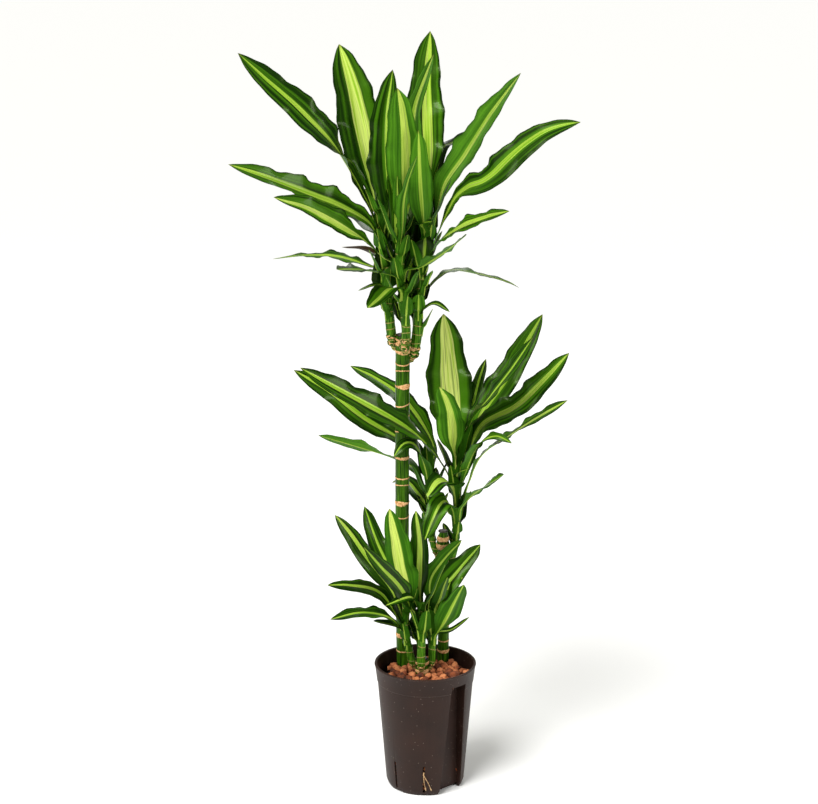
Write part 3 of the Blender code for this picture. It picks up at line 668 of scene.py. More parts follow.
@dataclass
class PebbleBed:
    """Expanded clay pebbles, heaped in the pot over a clay core whose dark colour is painted shade for
    the gaps between them.
    """

    node: str = "clay_pebbles"
    pebble_size: tuple[float, float] = (9.0, 16.5)
    reach: float = 67.0
    spacing: float = 10.2
    tries: int = 4000
    layers: tuple[float, ...] = (-7.5, -1.0)
    most_swell: float = 1.15
    cane_clearance: float = 4.5
    cane_level: float = 6.0
    roundness: int = 3
    chips: int = 9
    # Tone of the core, low enough to paint it dark as the shade in the gaps between the pebbles
    core_shade_tone: float = -0.8
    core_drop: float = 12.0
    core_top_band: float = 25.0
    core_inset: float = 4.0
    wall_levels: tuple[float, ...] = (11.0, 19.0, 27.0, 35.0, 43.0, 51.0)
    wall_pebbles: int = 40
    wall_pebble_size: tuple[float, float] = (8.0, 10.0)
    seed: int = 11

    def build(self) -> None:
        """Scatter pebbles over the core in layers and join them in one piece."""
        source = welded(bpy.data.objects[self.node])
        top = BVHTree.FromBMesh(source)
        rng = random.Random(self.seed)
        stems = self._stems()
        points: list[Vector] = []
        faces: list[tuple[int, ...]] = []
        tones: list[float] = []
        ball = bmesh.new()
        bmesh.ops.create_icosphere(ball, subdivisions=self.roundness, radius=1.0)
        ball.verts.ensure_lookup_table()
        for level in self.layers:
            for x, y in self._spread(rng, stems):
                hit, _, _, _ = top.ray_cast(Vector((x, y, 1.0)), Vector((0, 0, -1)))
                if hit is None:
                    continue
                size = rng.uniform(*self.pebble_size) * MM / 2
                if math.hypot(x, y) + self.most_swell * size > self.reach * MM:
                    continue
                middle = Vector((x, y, hit.z + level * MM))
                self._pebble(ball, middle, size, rng, points, faces)
                tones.extend([rng.random()] * len(ball.verts))
        ball.free()
        self._along_wall(top, rng, points, faces)
        tones.extend(rng.random() for _ in range(len(points) - len(tones)))
        self._core(source, points, faces)
        # The core's low tone paints it dark: painted shade seen through the gaps between the pebbles
        tones.extend([self.core_shade_tone] * (len(points) - len(tones)))
        source.free()
        mesh = closed_mesh("fired_pebbles", points, faces)
        mesh.attributes.new("pebble_tone", "FLOAT", "POINT").data.foreach_set("value", tones)
        fit_in(new_piece("fired_pebbles", mesh, (PEBBLE_CLAY,), crease=180.0),
               (self.node,))

    def _stems(self) -> list[tuple[float, float, float]]:
        """Where the canes stand at the clay's level: x, y and radius in metres."""
        found = []
        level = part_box(self.node)[1][2] - self.cane_level * MM
        for cane in ("cane_tall", "cane_middle", "cane_short"):
            middle, radius = Stem(cane).slice(level)
            found.append((middle.x, middle.y, radius))
        return found

    def _spread(self, rng: random.Random,
                stems: list[tuple[float, float, float]]) -> list[tuple[float, float]]:
        """Places for one layer of pebbles, no two nearer than the spacing and none in a cane.

        Args:
            rng: Source of the places.
            stems: Canes to keep clear of.

        Returns:
            The places, as x and y in metres.
        """
        kept: list[tuple[float, float]] = []
        for _ in range(self.tries):
            angle = rng.uniform(0, FULL_TURN)
            far = self.reach * MM * math.sqrt(rng.random())
            x, y = far * math.cos(angle), far * math.sin(angle)
            if any(math.hypot(x - a, y - b) < r + self.cane_clearance * MM for a, b, r in stems):
                continue
            if any(math.hypot(x - a, y - b) < self.spacing * MM for a, b in kept):
                continue
            kept.append((x, y))
        return kept

    def _pebble(self, ball: bmesh.types.BMesh, middle: Vector, size: float, rng: random.Random,
                points: list[Vector], faces: list[tuple[int, ...]]) -> None:
        """Add one uneven pebble.

        Args:
            ball: Unit ball that gives it its faces.
            middle: Its middle.
            size: Its radius, in metres.
            rng: Source of its shape.
            points: Corners so far, which grow.
            faces: Faces so far, which grow.
        """
        first = len(points)
        stretch = Vector((rng.uniform(0.85, 1.15), rng.uniform(0.85, 1.15), rng.uniform(0.75, 1.0)))
        home = Vector((rng.uniform(0, 50), rng.uniform(0, 50), rng.uniform(0, 50)))
        turn = rng.uniform(0, FULL_TURN)
        chips = [(Vector((rng.gauss(0, 1), rng.gauss(0, 1), rng.gauss(0, 1))).normalized(),
                  rng.uniform(0.62, 0.9)) for _ in range(self.chips)]
        for vert in ball.verts:
            flat = min([1.0] + [depth / vert.co.dot(chip) for chip, depth in chips
                                if vert.co.dot(chip) > depth])
            dent = 1.08 * flat + 0.24 * noise.noise(vert.co * 1.7 + home)
            dent += 0.14 * noise.noise(vert.co * 4.2 + home)
            x, y, z = vert.co * stretch * dent * size
            points.append(middle + Vector((x * math.cos(turn) - y * math.sin(turn),
                                           x * math.sin(turn) + y * math.cos(turn), z)))
        faces.extend(tuple(first + vert.index for vert in face.verts) for face in ball.faces)

    def _along_wall(self, clay: BVHTree, rng: random.Random, points: list[Vector],
                    faces: list[tuple[int, ...]]) -> None:
        """Line the pot's wall with the pebbles that show through its slots.

        Args:
            clay: The node's surface.
            rng: Source of their sizes.
            points: Corners so far, which grow.
            faces: Faces so far, which grow.
        """
        ball = bmesh.new()
        bmesh.ops.create_icosphere(ball, subdivisions=2, radius=1.0)
        ball.verts.ensure_lookup_table()
        for layer, level in enumerate(self.wall_levels):
            for number in range(self.wall_pebbles):
                turn = FULL_TURN * (number + 0.5 * (layer % 2)) / self.wall_pebbles
                out = Vector((math.cos(turn), math.sin(turn), 0))
                hit, _, _, _ = clay.ray_cast(Vector((0, 0, level * MM)), out)
                if hit is None:
                    continue
                size = rng.uniform(*self.wall_pebble_size) * MM / 2
                self._pebble(ball, hit - out * (size * 1.18 + 0.2 * MM), size, rng, points, faces)
        ball.free()

    def _core(self, source: bmesh.types.BMesh, points: list[Vector],
              faces: list[tuple[int, ...]]) -> None:
        """Add the clay behind the pebbles: the node's own body with its top and wall let in.

        Args:
            source: The node's welded body.
            points: Corners so far, which grow.
            faces: Faces so far, which grow.
        """
        first = len(points)
        top_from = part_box(self.node)[1][2] - self.core_top_band * MM
        source.verts.index_update()
        for vert in source.verts:
            drop = self.core_drop * MM if vert.co.z > top_from else 0.0
            inward = Vector((vert.co.x, vert.co.y, 0)).normalized() * self.core_inset * MM
            points.append(vert.co - Vector((0, 0, drop)) - inward)
        faces.extend(tuple(first + vert.index for vert in face.verts) for face in source.faces)


@dataclass
class Scar:
    """A corky ring round a stem, where a leaf or a bud was."""

    height: float
    width: float = 2.0
    rise: float = 0.45
    tilt: float = 1.2
    facing: float = 90.0
    patch: float = 0.0
    patch_facing: float = -70.0


@dataclass
class Stem:
    """A round stem that follows a node's middle, with corky scars round it."""

    node: str
    scars: tuple[Scar, ...] = ()
    sides: int = 36
    step: float = 1.6
    foot_flare: float = 0.0
    foot_cork: float = 0.0
    fullness: float = 1.0
    knot_gap: float = 12.0
    foot_inset: float = 1.5
    top_inset: float = 0.2
    roughness: float = 0.12
    body: bmesh.types.BMesh | None = field(default=None, repr=False)

    def slice(self, level: float) -> tuple[Vector, float]:
        """Middle and radius of the node where a level plane cuts it.

        Args:
            level: Height of the plane, in metres.

        Returns:
            The middle, and half of the cut's narrower side.
        """
        if self.body is None:
            self.body = welded(bpy.data.objects[self.node])
        cuts = []
        for edge in self.body.edges:
            a, b = edge.verts[0].co, edge.verts[1].co
            if (a.z - level) * (b.z - level) <= 0 and a.z != b.z:
                cuts.append(a.lerp(b, (level - a.z) / (b.z - a.z)))
        low = Vector((min(p.x for p in cuts), min(p.y for p in cuts), level))
        high = Vector((max(p.x for p in cuts), max(p.y for p in cuts), level))
        return (low + high) / 2, min(high.x - low.x, high.y - low.y) / 2

    def build(self, name: str, finish: Finish, slot: str) -> None:
        """Sweep a round section up the node's middle and mark its scars.

        Args:
            name: The piece's name.
            finish: The stem's skin.
            slot: Name of the record's material slot; not used.
        """
        low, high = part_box(self.node)
        knots = []
        radii = []
        count = max(4, round((high[2] - low[2]) / (self.knot_gap * MM)))
        foot = low[2] + self.foot_inset * MM
        top = high[2] - self.top_inset * MM
        for index in range(count + 1):
            share = index / count
            level = foot * (1 - share) + top * share
            middle, radius = self.slice(level)
            knots.append(middle)
            radii.append(Vector((radius, 0, 0)))
        rings = round((high[2] - low[2]) / (self.step * MM))
        points: list[Vector] = []
        scar_values: list[float] = []
        for ring in range(rings + 1):
            share = ring / rings
            middle = through(knots, share)
            radius = through(radii, share).x * self.fullness
            for side in range(self.sides):
                turn = FULL_TURN * side / self.sides
                swell, scar = self._marks(middle, turn, radius, low[2])
                out = Vector((math.cos(turn), math.sin(turn), 0))
                points.append(middle + out * (radius + swell))
                scar_values.append(scar)
        faces = tube_faces(rings + 1, self.sides)
        faces.append(tuple(range(self.sides)))
        faces.append(tuple(rings * self.sides + side for side in range(self.sides)))
        mesh = closed_mesh(name, points, faces)
        mesh.attributes.new("scar", "FLOAT", "POINT").data.foreach_set("value", scar_values)
        fit_in(new_piece(name, mesh, (finish,), crease=60.0), (self.node,))
        self.body.free()
        self.body = None

    def _marks(self, middle: Vector, turn: float, radius: float,
               foot: float) -> tuple[float, float]:
        """How far the bark swells at a point on the stem, and how corky it is there.

        Args:
            middle: Middle of the section.
            turn: Angle round the stem.
            radius: The stem's radius there.
            foot: The stem's lowest level.

        Returns:
            Swelling in metres, and cork from 0 to 1.
        """
        swell = 0.0
        cork = 0.0
        for scar in self.scars:
            lean = scar.tilt * MM * math.cos(turn - math.radians(scar.facing))
            bud = math.exp(2.5 * (math.cos(turn - math.radians(scar.patch_facing)) - 1))
            width = (scar.width + scar.patch * bud) * MM
            off = (middle.z - scar.height * MM - lean) / (width / 2)
            if abs(off) > 4:
                continue
            near = math.exp(-off * off)
            swell += scar.rise * MM * near
            cork = max(cork, near)
        if self.foot_flare:
            near = math.exp(-(((middle.z - foot) / (self.foot_cork * MM)) ** 2))
            swell += self.foot_flare * MM * near
            cork = max(cork, min(1.0, near * 1.2))
        wobble = noise.noise(Vector((math.cos(turn), math.sin(turn), middle.z * 60)) * 1.7)
        return swell + self.roughness * MM * wobble, cork


@dataclass(frozen=True)
class Stripe:
    """Where a leaf's lime band lies, how wide it is and how far its tip has dried out."""

    centre: float = 0.0
    half_width: float = 0.3
    dry: float = 0.012


@dataclass
class LeafBlade:
    """One leaf blade: its rails from foot to tip, its margins' waves and its stripe."""

    name: str
    left: list[Vector]
    middle: list[Vector]
    right: list[Vector]
    stripe: Stripe
    tone: float = 0.0
    wave: float = 0.09
    wave_length: float = 62.0
    thickness: float = 0.5
    foot_thickening: float = 0.35
    foot_share: float = 0.2
    rib: float = 0.5
    groove: float = 0.3
    crown_height: float = 0.07
    tip_from: float = 0.7
    clasp: float = 30.0
    clasp_drop: float = 5.0
    clasp_turn: float = 1.9
    stem_radius: float = 6.8
    row_length: float = 6.5
    columns: tuple[float, ...] = (-1.0, -0.95, -0.84, -0.68, -0.5, -0.32, -0.16, -0.05,
                                  0.05, 0.16, 0.32, 0.5, 0.68, 0.84, 0.95, 1.0)

    def build(self) -> bpy.types.Object:
        """Make the closed blade and write where each point lies on it.

        Returns:
            The leaf's piece.
        """
        rng = random.Random(self.name)
        phases = (rng.uniform(0, FULL_TURN), rng.uniform(0, FULL_TURN))
        seed = rng.uniform(0, 40)
        length = sum((b - a).length for a, b in zip(self.middle, self.middle[1:]))
        rows = max(16, round(length / (self.row_length * MM)))
        upper: list[Vector] = []
        under: list[Vector] = []
        spots: list[tuple[float, float, float]] = []
        for row in range(rows):
            along = row / rows
            for across in self.columns:
                skin, up = self._skin(along, across, length, phases)
                half = self.thickness * MM / 2 * (1 - across ** 4)
                half += self.foot_thickening * MM * max(0.0, 1 - along / self.foot_share)
                rib = self.rib * MM * math.exp(-((across / 0.09) ** 2)) * (1 - along)
                upper.append(skin + up * half)
                under.append(skin - up * (half + rib))
                spots.append((across, along, seed))
        points = upper + under + [through(self.middle, 1.0)]
        spots = spots + spots + [(0.0, 1.0, seed)]
        faces, sides = self._faces(rows)
        mesh = closed_mesh(self.name, points, faces, sides)
        spot = mesh.attributes.new("leaf_spot", "FLOAT_VECTOR", "POINT")
        spot.data.foreach_set("vector", [value for triple in spots for value in triple])
        band = mesh.attributes.new("leaf_band", "FLOAT_VECTOR", "POINT")
        stripe = (self.stripe.centre, self.stripe.half_width, self.stripe.dry)
        band.data.foreach_set("vector", stripe * len(points))
        tone = mesh.attributes.new("leaf_tone", "FLOAT", "POINT")
        tone.data.foreach_set("value", [self.tone] * len(points))
        return new_piece(self.name, mesh, (UPPER_CUTICLE, UNDER_CUTICLE), crease=70.0)

    def _faces(self, rows: int) -> tuple[list[tuple[int, ...]], list[int]]:
        """Join the blade's upper and under sides, its margins and its foot, and close its tip.

        Args:
            rows: How many rows of corners each side has.

        Returns:
            The faces, and the finish of each: 0 for the upper side and 1 for the under side.
        """
        width = len(self.columns)
        lower = rows * width
        tip = 2 * lower
        faces: list[tuple[int, ...]] = []
        sides: list[int] = []
        for base, side in ((0, 0), (lower, 1)):
            for row in range(rows - 1):
                for column in range(width - 1):
                    start = base + row * width + column
                    faces.append((start, start + 1, start + width + 1, start + width))
                    sides.append(side)
            last = base + (rows - 1) * width
            for column in range(width - 1):
                faces.append((last + column, last + column + 1, tip))
                sides.append(side)
        for column in range(width - 1):
            faces.append((column, column + 1, lower + column + 1, lower + column))
            sides.append(1)
        for column in (0, width - 1):
            for row in range(rows - 1):
                start = row * width + column
                faces.append((start, start + width, lower + start + width, lower + start))
                sides.append(0)
            last = (rows - 1) * width + column
            faces.append((last, tip, lower + last))
            sides.append(0)
        return faces, sides

    def _skin(self, along: float, across: float, length: float,
              phases: tuple[float, float]) -> tuple[Vector, Vector]:
        """A point half-way through the blade and the direction that its upper side faces.

        Args:
            along: Share of the leaf's length.
            across: Share of its half width, from its midrib.
            length: The leaf's length, in metres.
            phases: Where each margin's waves start.

        Returns:
            The point and the upward direction there.
        """
        middle = through(self.middle, along)
        before = through(self.middle, max(0.0, along - 0.02))
        ahead = through(self.middle, min(1.0, along + 0.02)) - before
        left, right = through(self.left, along), through(self.right, along)
        side = (right - left).normalized()
        up = side.cross(ahead).normalized()
        margin = (right if across > 0 else left) - middle
        reach = abs(across)
        half_width = abs(margin.dot(side))
        travelled = along * length / (self.wave_length * MM)
        ripple = math.sin(FULL_TURN * travelled + phases[across > 0])
        ripple += 0.5 * math.sin(FULL_TURN * 2.3 * travelled + 2 * phases[across > 0])
        swing = math.sin(math.pi * min(1.0, along * 1.05)) ** 0.5 if along < 0.95 else 0.4
        height = margin.dot(up) * reach ** 1.5
        height += half_width * self.crown_height * math.sin(math.pi * reach)
        height += half_width * self.wave * ripple * swing * reach ** 2
        out = margin.dot(side) * reach
        out *= 1 + 0.05 * ripple * reach
        out *= 1 + max(0.0, (along - self.tip_from) / (1 - self.tip_from)) ** 2
        clasp = max(0.0, 1 - along * length / (self.clasp * MM))
        if clasp:
            spread = abs(out) + clasp * self.clasp_drop * MM * reach
            turn = min(self.clasp_turn, spread / (self.stem_radius * MM))
            wrapped = self.stem_radius * MM * math.sin(turn)
            out += clasp * (math.copysign(wrapped, out) - out)
            height += clasp * self.stem_radius * MM * (1 - math.cos(turn))
            middle -= ahead.normalized() * clasp ** 6 * self.clasp_drop * MM * (1 - reach)
        groove = self.groove * MM * math.exp(-((across / 0.07) ** 2))
        return middle + side * out + up * (height - groove), up


@dataclass(frozen=True)
class SmallLeaf:
    """A leaf too small for a node: where it leaves its shoot, and its midrib's route to the tip."""

    shoot: str
    height: float
    width: float
    facing: tuple[float, float, float]
    route: tuple[tuple[float, float, float], ...]
    stripe: Stripe = Stripe(0.0, 0.22)


class Crown(Enum):
    """The plant's three heads of leaves, by the word that their nodes share."""

    TALL = "tall"
    MIDDLE = "middle"
    SHORT = "short"


SMALL_LEAVES: dict[Crown, tuple[SmallLeaf, ...]] = {
    Crown.TALL: (
        SmallLeaf("shoot_tall_right", 824, 20, (-1, -2, 2), ((20, 90, 928), (42, 120, 942),
                                                            (63, 145, 956))),
        SmallLeaf("shoot_tall_right", 762, 26, (0, -1, 2), ((-1, 15, 826), (-7, 0, 844),
                                                           (8, -20, 852))),
        SmallLeaf("shoot_tall_centre", 812, 20, (0, -3, 1), ((-44, 20, 875), (-53, 10, 918))),
        SmallLeaf("shoot_tall_left", 776, 13, (0, -1, 2), ((-87, 80, 793), (-123, 130, 786)),
                  Stripe(0.0, 0.12, 0.5)),
        SmallLeaf("shoot_tall_left", 738, 9, (0, -1, 2), ((-77, 30, 750), (-96, 0, 749))),
        SmallLeaf("shoot_tall_left", 812, 30, (0, -1, 2), ((-77, 75, 825), (-96, 110, 834),
                                                          (-121, 150, 830))),
        SmallLeaf("shoot_tall_right", 704, 12, (0, -1, 2), ((14, 30, 724), (34, 10, 716))),
        SmallLeaf("shoot_tall_right", 780, 34, (0, -3, 1), ((-5, 60, 830), (-14, 75, 885),
                                                           (-22, 84, 930)), Stripe(0.1, 0.1)),
        SmallLeaf("shoot_tall_centre", 782, 34, (0, -3, 1), ((-30, 55, 840), (-12, 75, 895),
                                                            (4, 88, 935)), Stripe(0.0, 0.12)),
        SmallLeaf("shoot_tall_centre", 730, 30, (0, -3, 1), ((-20, 50, 780), (-8, 62, 830)),
                  Stripe(0.0, 0.12)),
        SmallLeaf("shoot_tall_left", 736, 30, (0, -3, 1), ((-60, 50, 785), (-50, 60, 838)),
                  Stripe(0.0, 0.15)),
        SmallLeaf("shoot_tall_left", 790, 32, (1, -3, 1), ((-60, 60, 845), (-52, 74, 905),
                                                          (-58, 84, 950)), Stripe(0.0, 0.14)),
    ),
    Crown.MIDDLE: (
        SmallLeaf("shoot_middle_left", 400, 26, (0, -1, 2), ((-12, 82, 425), (-30, 112, 435),
                                                            (-50, 135, 425))),
        SmallLeaf("shoot_middle_right", 448, 24, (-1, -2, 1), ((66, 90, 535), (78, 112, 583),
                                                              (90, 122, 620))),
        SmallLeaf("shoot_middle_right", 446, 12, (0, -1, 2), ((47, 20, 474), (63, 0, 487))),
    ),
    Crown.SHORT: (
        SmallLeaf("shoot_short_left", 236, 18, (0, -1, 2), ((-55, -30, 260), (-76, -55, 274))),
        SmallLeaf("shoot_short_centre", 262, 22, (0, -1, 2), ((-15, -30, 294), (-25, -45, 306),
                                                             (-58, -65, 301)), Stripe(0.1, 0.24)),
        SmallLeaf("shoot_short_right", 236, 20, (0, -1, 2), ((26, 20, 274), (56, 30, 312))),
        SmallLeaf("shoot_short_right", 226, 12, (0, -1, 2), ((39, 0, 240), (65, -10, 264))),
    ),
}

# Leaves whose band stands out from the usual one
STRIPES: dict[str, Stripe] = {
    "leaf_tall_left_4": Stripe(0.1, 0.36),
    "leaf_tall_left_3": Stripe(0.0, 0.16),
    "leaf_tall_centre_3": Stripe(-0.25, 0.34),
    "leaf_tall_centre_7": Stripe(-0.2, 0.27),
    "leaf_tall_right_7": Stripe(0.1, 0.26),
    "leaf_middle_right_10": Stripe(0.05, 0.5),
    "leaf_middle_right_11": Stripe(-0.15, 0.34),
    "leaf_short_centre_2": Stripe(0.05, 0.4),
    "leaf_short_centre_3": Stripe(0.0, 0.3),
}


@dataclass
class LeafHead:
    """All the leaves of one crown: those of its nodes, small ones and young ones.

    `tone` is how much lighter the leaves are than the usual green, and `young_leaves` how many young
    ones crowd round each shoot, from the share `young_from` of its height upwards.
    """

    crown: Crown
    tone: float
    young_leaves: int
    young_from: float = 0.16
    young_to: float = 0.98
    young_length: tuple[float, float] = (55.0, 95.0)
    young_width: tuple[float, float] = (17.0, 26.0)
    young_foot: float = 8.0
    young_bow: tuple[tuple[float, float], ...] = ((0.12, 0.3), (0.24, 0.62), (0.36, 0.9))
    leaf_turn: float = math.radians(137.5)
    small_stations: int = 9
    small_foot: tuple[float, float] = (1.2, 9.0)
    small_cup: float = 0.25
    petiole: float = 8.0

    def build(self) -> None:
        """Build every leaf of this crown."""
        for node in sorted(nodes_named(f"leaf_{self.crown.value}_")):
            left, middle, right = self._rails(bpy.data.objects[node])
            rng = random.Random("stripe " + node)
            stripe = STRIPES.get(node, Stripe(rng.uniform(-0.15, 0.15), rng.uniform(0.13, 0.28)))
            blade = LeafBlade(node.replace("leaf_", "blade_"), left, middle, right, stripe,
                              self.tone + rng.uniform(-0.06, 0.06), rng.uniform(0.1, 0.2))
            fit_in(blade.build(), (node,))
        leaves = SMALL_LEAVES[self.crown] + tuple(self._young())
        rng = random.Random("small " + self.crown.value)
        for number, leaf in enumerate(leaves, 1):
            left, middle, right = self._small_rails(leaf)
            blade = LeafBlade(f"small_blade_{self.crown.value}_{number}", left, middle, right,
                              leaf.stripe, self.tone - rng.uniform(0.04, 0.16))
            fit_in(blade.build())

    def _young(self) -> list[SmallLeaf]:
        """Narrow upright leaves that crowd round each shoot's upper part.

        Returns:
            The leaves, a golden angle apart round each shoot.
        """
        young = []
        for node in sorted(nodes_named(f"shoot_{self.crown.value}_")):
            rng = random.Random("young " + node)
            low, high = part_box(node)
            turn = rng.uniform(0, FULL_TURN)
            for number in range(self.young_leaves):
                part = (number + 0.5) / self.young_leaves
                share = self.young_from + (self.young_to - self.young_from) * part
                level = low[2] * (1 - share) + high[2] * share
                middle, _ = Stem(node).slice(level)
                turn += self.leaf_turn
                out = Vector((math.cos(turn), math.sin(turn), 0))
                length = rng.uniform(*self.young_length) * (0.4 + 0.6 * share)
                route = tuple(tuple(middle / MM + out * (self.young_foot + far * length)
                                    + Vector((0, 0, rise * length)))
                              for far, rise in self.young_bow)
                facing = Vector((0, 0, 0.8)) - out
                width = rng.uniform(*self.young_width)
                stripe = Stripe(rng.uniform(-0.1, 0.1), rng.uniform(0.05, 0.2))
                young.append(SmallLeaf(node, level / MM, width, tuple(facing), route, stripe))
        return young

    @staticmethod
    def _rails(node: bpy.types.Object) -> tuple[list[Vector], list[Vector], list[Vector]]:
        """Read a leaf node's margins and midrib, from foot to tip.

        Args:
            node: The leaf's node: rings of left margin, under side, right margin and upper side.

        Returns:
            The left margin, the midrib and the right margin, each ending at the tip.
        """
        body = welded(node)
        body.verts.index_update()
        sharp: dict[int, list[bmesh.types.BMVert]] = {}
        for edge in body.edges:
            if len(edge.link_faces) == 2 and edge.calc_face_angle() > math.radians(125):
                for vert in edge.verts:
                    sharp.setdefault(vert.index, []).append(edge.other_vert(vert))
        body.verts.ensure_lookup_table()
        ends = [index for index, others in sharp.items() if len(others) == 1]
        walk = [body.verts[ends[0]]]
        seen = {ends[0]}
        while True:
            onward = [v for v in sharp[walk[-1].index] if v.index not in seen]
            if not onward:
                break
            walk.append(onward[0])
            seen.add(onward[0].index)
        stations = (len(walk) - 1) // 2
        left = [vert.co.copy() for vert in walk[:stations + 1]]
        right = [vert.co.copy() for vert in reversed(walk[stations:])]
        rest = [vert.co.copy() for vert in body.verts if vert.index not in seen]
        body.free()
        middle = []
        risers = []
        for a, b in zip(left[:-1], right[:-1]):
            chord = (a + b) / 2
            near, far = sorted(rest, key=lambda point: (point - chord).length)[:2]
            middle.append((near + far) / 2)
            risers.append((near - far).cross(b - a))
        middle.append(left[-1])
        steps = (after - before for before, after in zip(middle, middle[1:]))
        if sum(riser.dot(step) for riser, step in zip(risers, steps)) < 0:
            left, right = right, left
        return left, middle, right

    def _small_rails(self, leaf: SmallLeaf) -> tuple[list[Vector], list[Vector], list[Vector]]:
        """Lay out a small leaf's margins and midrib from its table entry.

        Args:
            leaf: The small leaf.

        Returns:
            The left margin, the midrib and the right margin, each ending at the tip.
        """
        level = leaf.height * MM
        stem, radius = Stem(leaf.shoot).slice(level)
        first = Vector(leaf.route[0]) * MM
        away = first - stem
        away.z = 0
        away.normalize()
        clearance, rise = self.small_foot
        foot = stem + away * (radius + clearance * MM)
        knots = [foot, foot + away * 2 * MM + Vector((0, 0, rise * MM))]
        knots.extend(Vector(point) * MM for point in leaf.route)
        middle = [through(knots, index / self.small_stations)
                  for index in range(self.small_stations + 1)]
        left, right = [], []
        for index, point in enumerate(middle[:-1]):
            share = index / self.small_stations
            along = middle[index + 1] - middle[max(0, index - 1)]
            facing = (-away).lerp(Vector(leaf.facing).normalized(), min(1.0, share / 0.25))
            side = along.cross(facing).normalized()
            up = side.cross(along).normalized()
            opening = min(1.0, max(0.0, (share - 0.08) / 0.36))
            blade = leaf.width * opening * (1 - max(0.0, (share - 0.5) * 2) ** 2.1)
            half = max(blade, min(self.petiole, leaf.width) * min(1, (1 - share) * 3)) / 2 * MM
            left.append(point - side * half + up * half * self.small_cup)
            right.append(point + side * half + up * half * self.small_cup)
        left.append(middle[-1])
        right.append(middle[-1])
        return left, middle, right


LEAF_HEADS = (
    LeafHead(Crown.TALL, tone=0.01, young_leaves=16),
    LeafHead(Crown.MIDDLE, tone=-0.04, young_leaves=10),
    LeafHead(Crown.SHORT, tone=-0.09, young_leaves=5, young_from=0.3),
)


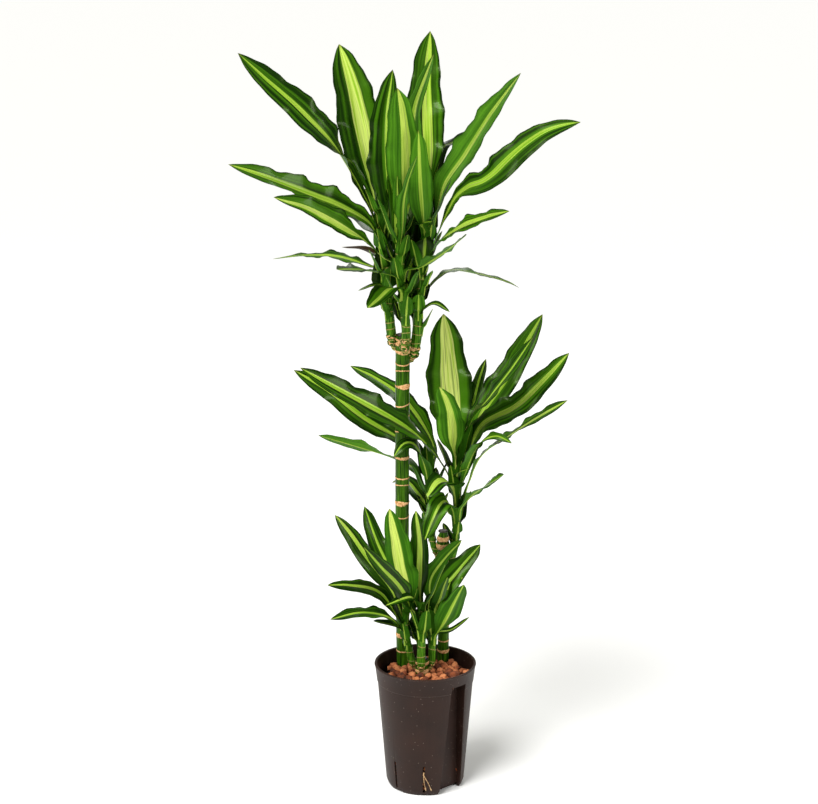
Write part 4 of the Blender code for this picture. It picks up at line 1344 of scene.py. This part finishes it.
@dataclass
class Canes:
    """The three rooted canes with their leaf scars and wax seals, and the shoots that they carry."""

    tall_scars: tuple[Scar, ...] = (
        Scar(192, 2.4), Scar(217, 2.4, 0.8, patch=6.0, patch_facing=-120.0), Scar(274, 2.2),
        Scar(310, 1.8, tilt=-2.0), Scar(350, 2.0), Scar(402, 2.0, tilt=2.5),
        Scar(423, 2.2, 0.8, patch=7.0, patch_facing=-110.0), Scar(449, 1.8, tilt=-1.5),
        Scar(461, 2.2), Scar(492, 2.6, 0.6, patch=3.0, patch_facing=-60.0),
        Scar(512, 2.2, 0.5, 5.0, 20.0), Scar(530, 1.8, tilt=-2.0), Scar(555, 2.0),
        Scar(572, 2.2, tilt=3.0, facing=45.0), Scar(600, 2.0, 0.8, patch=8.0, patch_facing=-62.0),
        Scar(621, 1.8, tilt=-2.4), Scar(634, 2.2, tilt=3.0), Scar(652, 3.0, 1.0, 2.0, patch=5.0),
        Scar(661, 2.6, 1.0, -3.0, patch=5.0, patch_facing=-120.0), Scar(670, 3.0, 1.2, 2.0),
    )
    middle_scars: tuple[Scar, ...] = (
        Scar(190, 2.6, 0.7, patch=4.0), Scar(206, 2.2), Scar(228, 2.0, tilt=-2.0), Scar(262),
        Scar(290), Scar(330, 2.4), Scar(353, 9.0, 2.2, 1.0), Scar(365, 8.0, 1.2, 1.5),
    )
    short_scars: tuple[Scar, ...] = (Scar(177, 4.5, 0.9, 1.0, patch=3.0), Scar(189, 5.0, 1.4))
    tall_knots: tuple[tuple[float, float], ...] = ((5.0, 1.25), (13.0, 1.4), (22.0, 1.3))
    low_knots: tuple[tuple[float, float], ...] = ((4.0, 1.3), (10.0, 1.15))
    knot_flatness: float = 0.75
    seal_profile: tuple[tuple[float, float], ...] = ((0.5, 0.0), (0.96, 0.0), (1.0, 0.3),
                                                     (0.93, 0.75), (0.75, 1.0), (0.4, 0.9))
    seal_sides: int = 40
    seal_dip: float = 0.3
    first_shoot_scar: float = 16.0
    shoot_scar_gap: tuple[float, float] = (8.0, 19.0)

    def build(self) -> None:
        """Build the canes, their seals and the shoots."""
        for crown, scars in ((Crown.TALL, self.tall_scars), (Crown.MIDDLE, self.middle_scars),
                             (Crown.SHORT, self.short_scars)):
            node = f"cane_{crown.value}"
            Stem(node, scars, 48, step=1.0).build(f"bark_{crown.value}", CANE_BARK, "cane_bark")
            self._seal(crown)
        for node in sorted(nodes_named("shoot_")):
            low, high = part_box(node)
            scars = self._leaf_scars(node, low[2] / MM + self.first_shoot_scar, high[2] / MM - 4)
            stem = Stem(node, scars, 28, step=0.8, foot_flare=1.6, foot_cork=8.0, fullness=1.14)
            stem.build(node.replace("shoot_", "stem_"), SHOOT_SKIN, "shoot_stem")
            self._knots(node, self.tall_knots if "_tall_" in node else self.low_knots)

    def _knots(self, node: str, knots: tuple[tuple[float, float], ...]) -> None:
        """Heap knobs of healed bark round a shoot's foot, with cork in their creases.

        Args:
            node: The shoot's name, which sets their shapes.
            knots: Height of each over the foot in millimetres, and its size over the shoot's.
        """
        rng = random.Random("knots " + node)
        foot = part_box(node)[0][2]
        stem = Stem(node)
        points: list[Vector] = []
        faces: list[tuple[int, ...]] = []
        cork: list[float] = []
        ball = bmesh.new()
        bmesh.ops.create_icosphere(ball, subdivisions=4, radius=1.0)
        for level, swell in knots:
            middle, radius = stem.slice(foot + level * MM)
            home = Vector((rng.uniform(0, 50), rng.uniform(0, 50), rng.uniform(0, 50)))
            first = len(points)
            for vert in ball.verts:
                crease = noise.noise(vert.co * 1.6 + home)
                dent = 1 + 0.22 * abs(crease) + 0.05 * noise.noise(vert.co * 5 + home)
                spot = vert.co * radius * swell * dent
                spot.z *= self.knot_flatness
                points.append(middle + spot)
                cork.append(math.exp(-((crease / 0.17) ** 2)))
            faces.extend(tuple(first + vert.index for vert in face.verts) for face in ball.faces)
        ball.free()
        stem.body.free()
        name = node.replace("shoot_", "knots_")
        mesh = closed_mesh(name, points, faces)
        mesh.attributes.new("scar", "FLOAT", "POINT").data.foreach_set("value", cork)
        fit_in(new_piece(name, mesh, (CANE_BARK,), crease=180.0))

    def _leaf_scars(self, node: str, low: float, high: float) -> tuple[Scar, ...]:
        """Thin scars up a shoot, unevenly spaced.

        Args:
            node: The shoot's name, which sets where they fall.
            low: Lowest level, in millimetres.
            high: Highest level, in millimetres.

        Returns:
            The scars.
        """
        rng = random.Random(node)
        scars = []
        level = low
        while level < high:
            scars.append(Scar(level, 1.3, 0.35, rng.uniform(0.4, 1.8), rng.uniform(0, 360)))
            level += rng.uniform(*self.shoot_scar_gap)
        return tuple(scars)

    def _seal(self, crown: Crown) -> None:
        """Pour the wax over a cane's cut, as a low uneven dome in its node's box.

        Args:
            crown: Which cane.
        """
        node = f"wax_cap_{crown.value}"
        low, high = (Vector(corner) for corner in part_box(node))
        middle = (low + high) / 2
        radius = (high.x - low.x) / 2
        dip = Vector((middle.x, middle.y, high.z - self.seal_dip * MM))
        points = [Vector((middle.x, middle.y, low.z)), dip]
        sides = self.seal_sides
        for share, rise in self.seal_profile:
            for side in range(sides):
                turn = FULL_TURN * side / sides
                out = Vector((math.cos(turn), math.sin(turn), 0))
                lump = 1 - 0.05 * abs(noise.noise(out * 1.6 + Vector((0, 0, low.z * 9))))
                spot = middle + out * radius * share * lump
                spot.z = low.z + (high.z - low.z) * rise * lump
                points.append(spot)
        faces = tube_faces(len(self.seal_profile), sides, first=2)
        last = len(points) - sides
        for side in range(sides):
            after = (side + 1) % sides
            faces.append((0, 2 + after, 2 + side))
            faces.append((1, last + side, last + after))
        mesh = closed_mesh(f"wax_seal_{crown.value}", points, faces)
        piece = new_piece(mesh.name, mesh, (SEALING_WAX,), crease=70.0)
        fit_in(piece, (node,))


@dataclass
class HangingRoot:
    """The thin root that hangs out of a slot, rounded from its node."""

    node: str = "hanging_root"

    def build(self) -> None:
        """Smooth the node's strands and dry them out."""
        body = welded(bpy.data.objects[self.node])
        bmesh.ops.subdivide_edges(body, edges=body.edges, cuts=1, use_grid_fill=True, smooth=0.6)
        mesh = bpy.data.meshes.new("dried_root")
        body.to_mesh(mesh)
        body.free()
        fit_in(new_piece("dried_root", mesh, (ROOT_SKIN,), crease=80.0), (self.node,))


def main() -> None:
    """Build the studio, then the plant from the pot up."""
    logging.basicConfig(level=logging.INFO, format="%(name)s: %(message)s")
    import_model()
    Studio().build()
    CulturePot().build()
    PebbleBed().build()
    Canes().build()
    for head in LEAF_HEADS:
        head.build()
    HangingRoot().build()


if __name__ == "__main__":
    main()
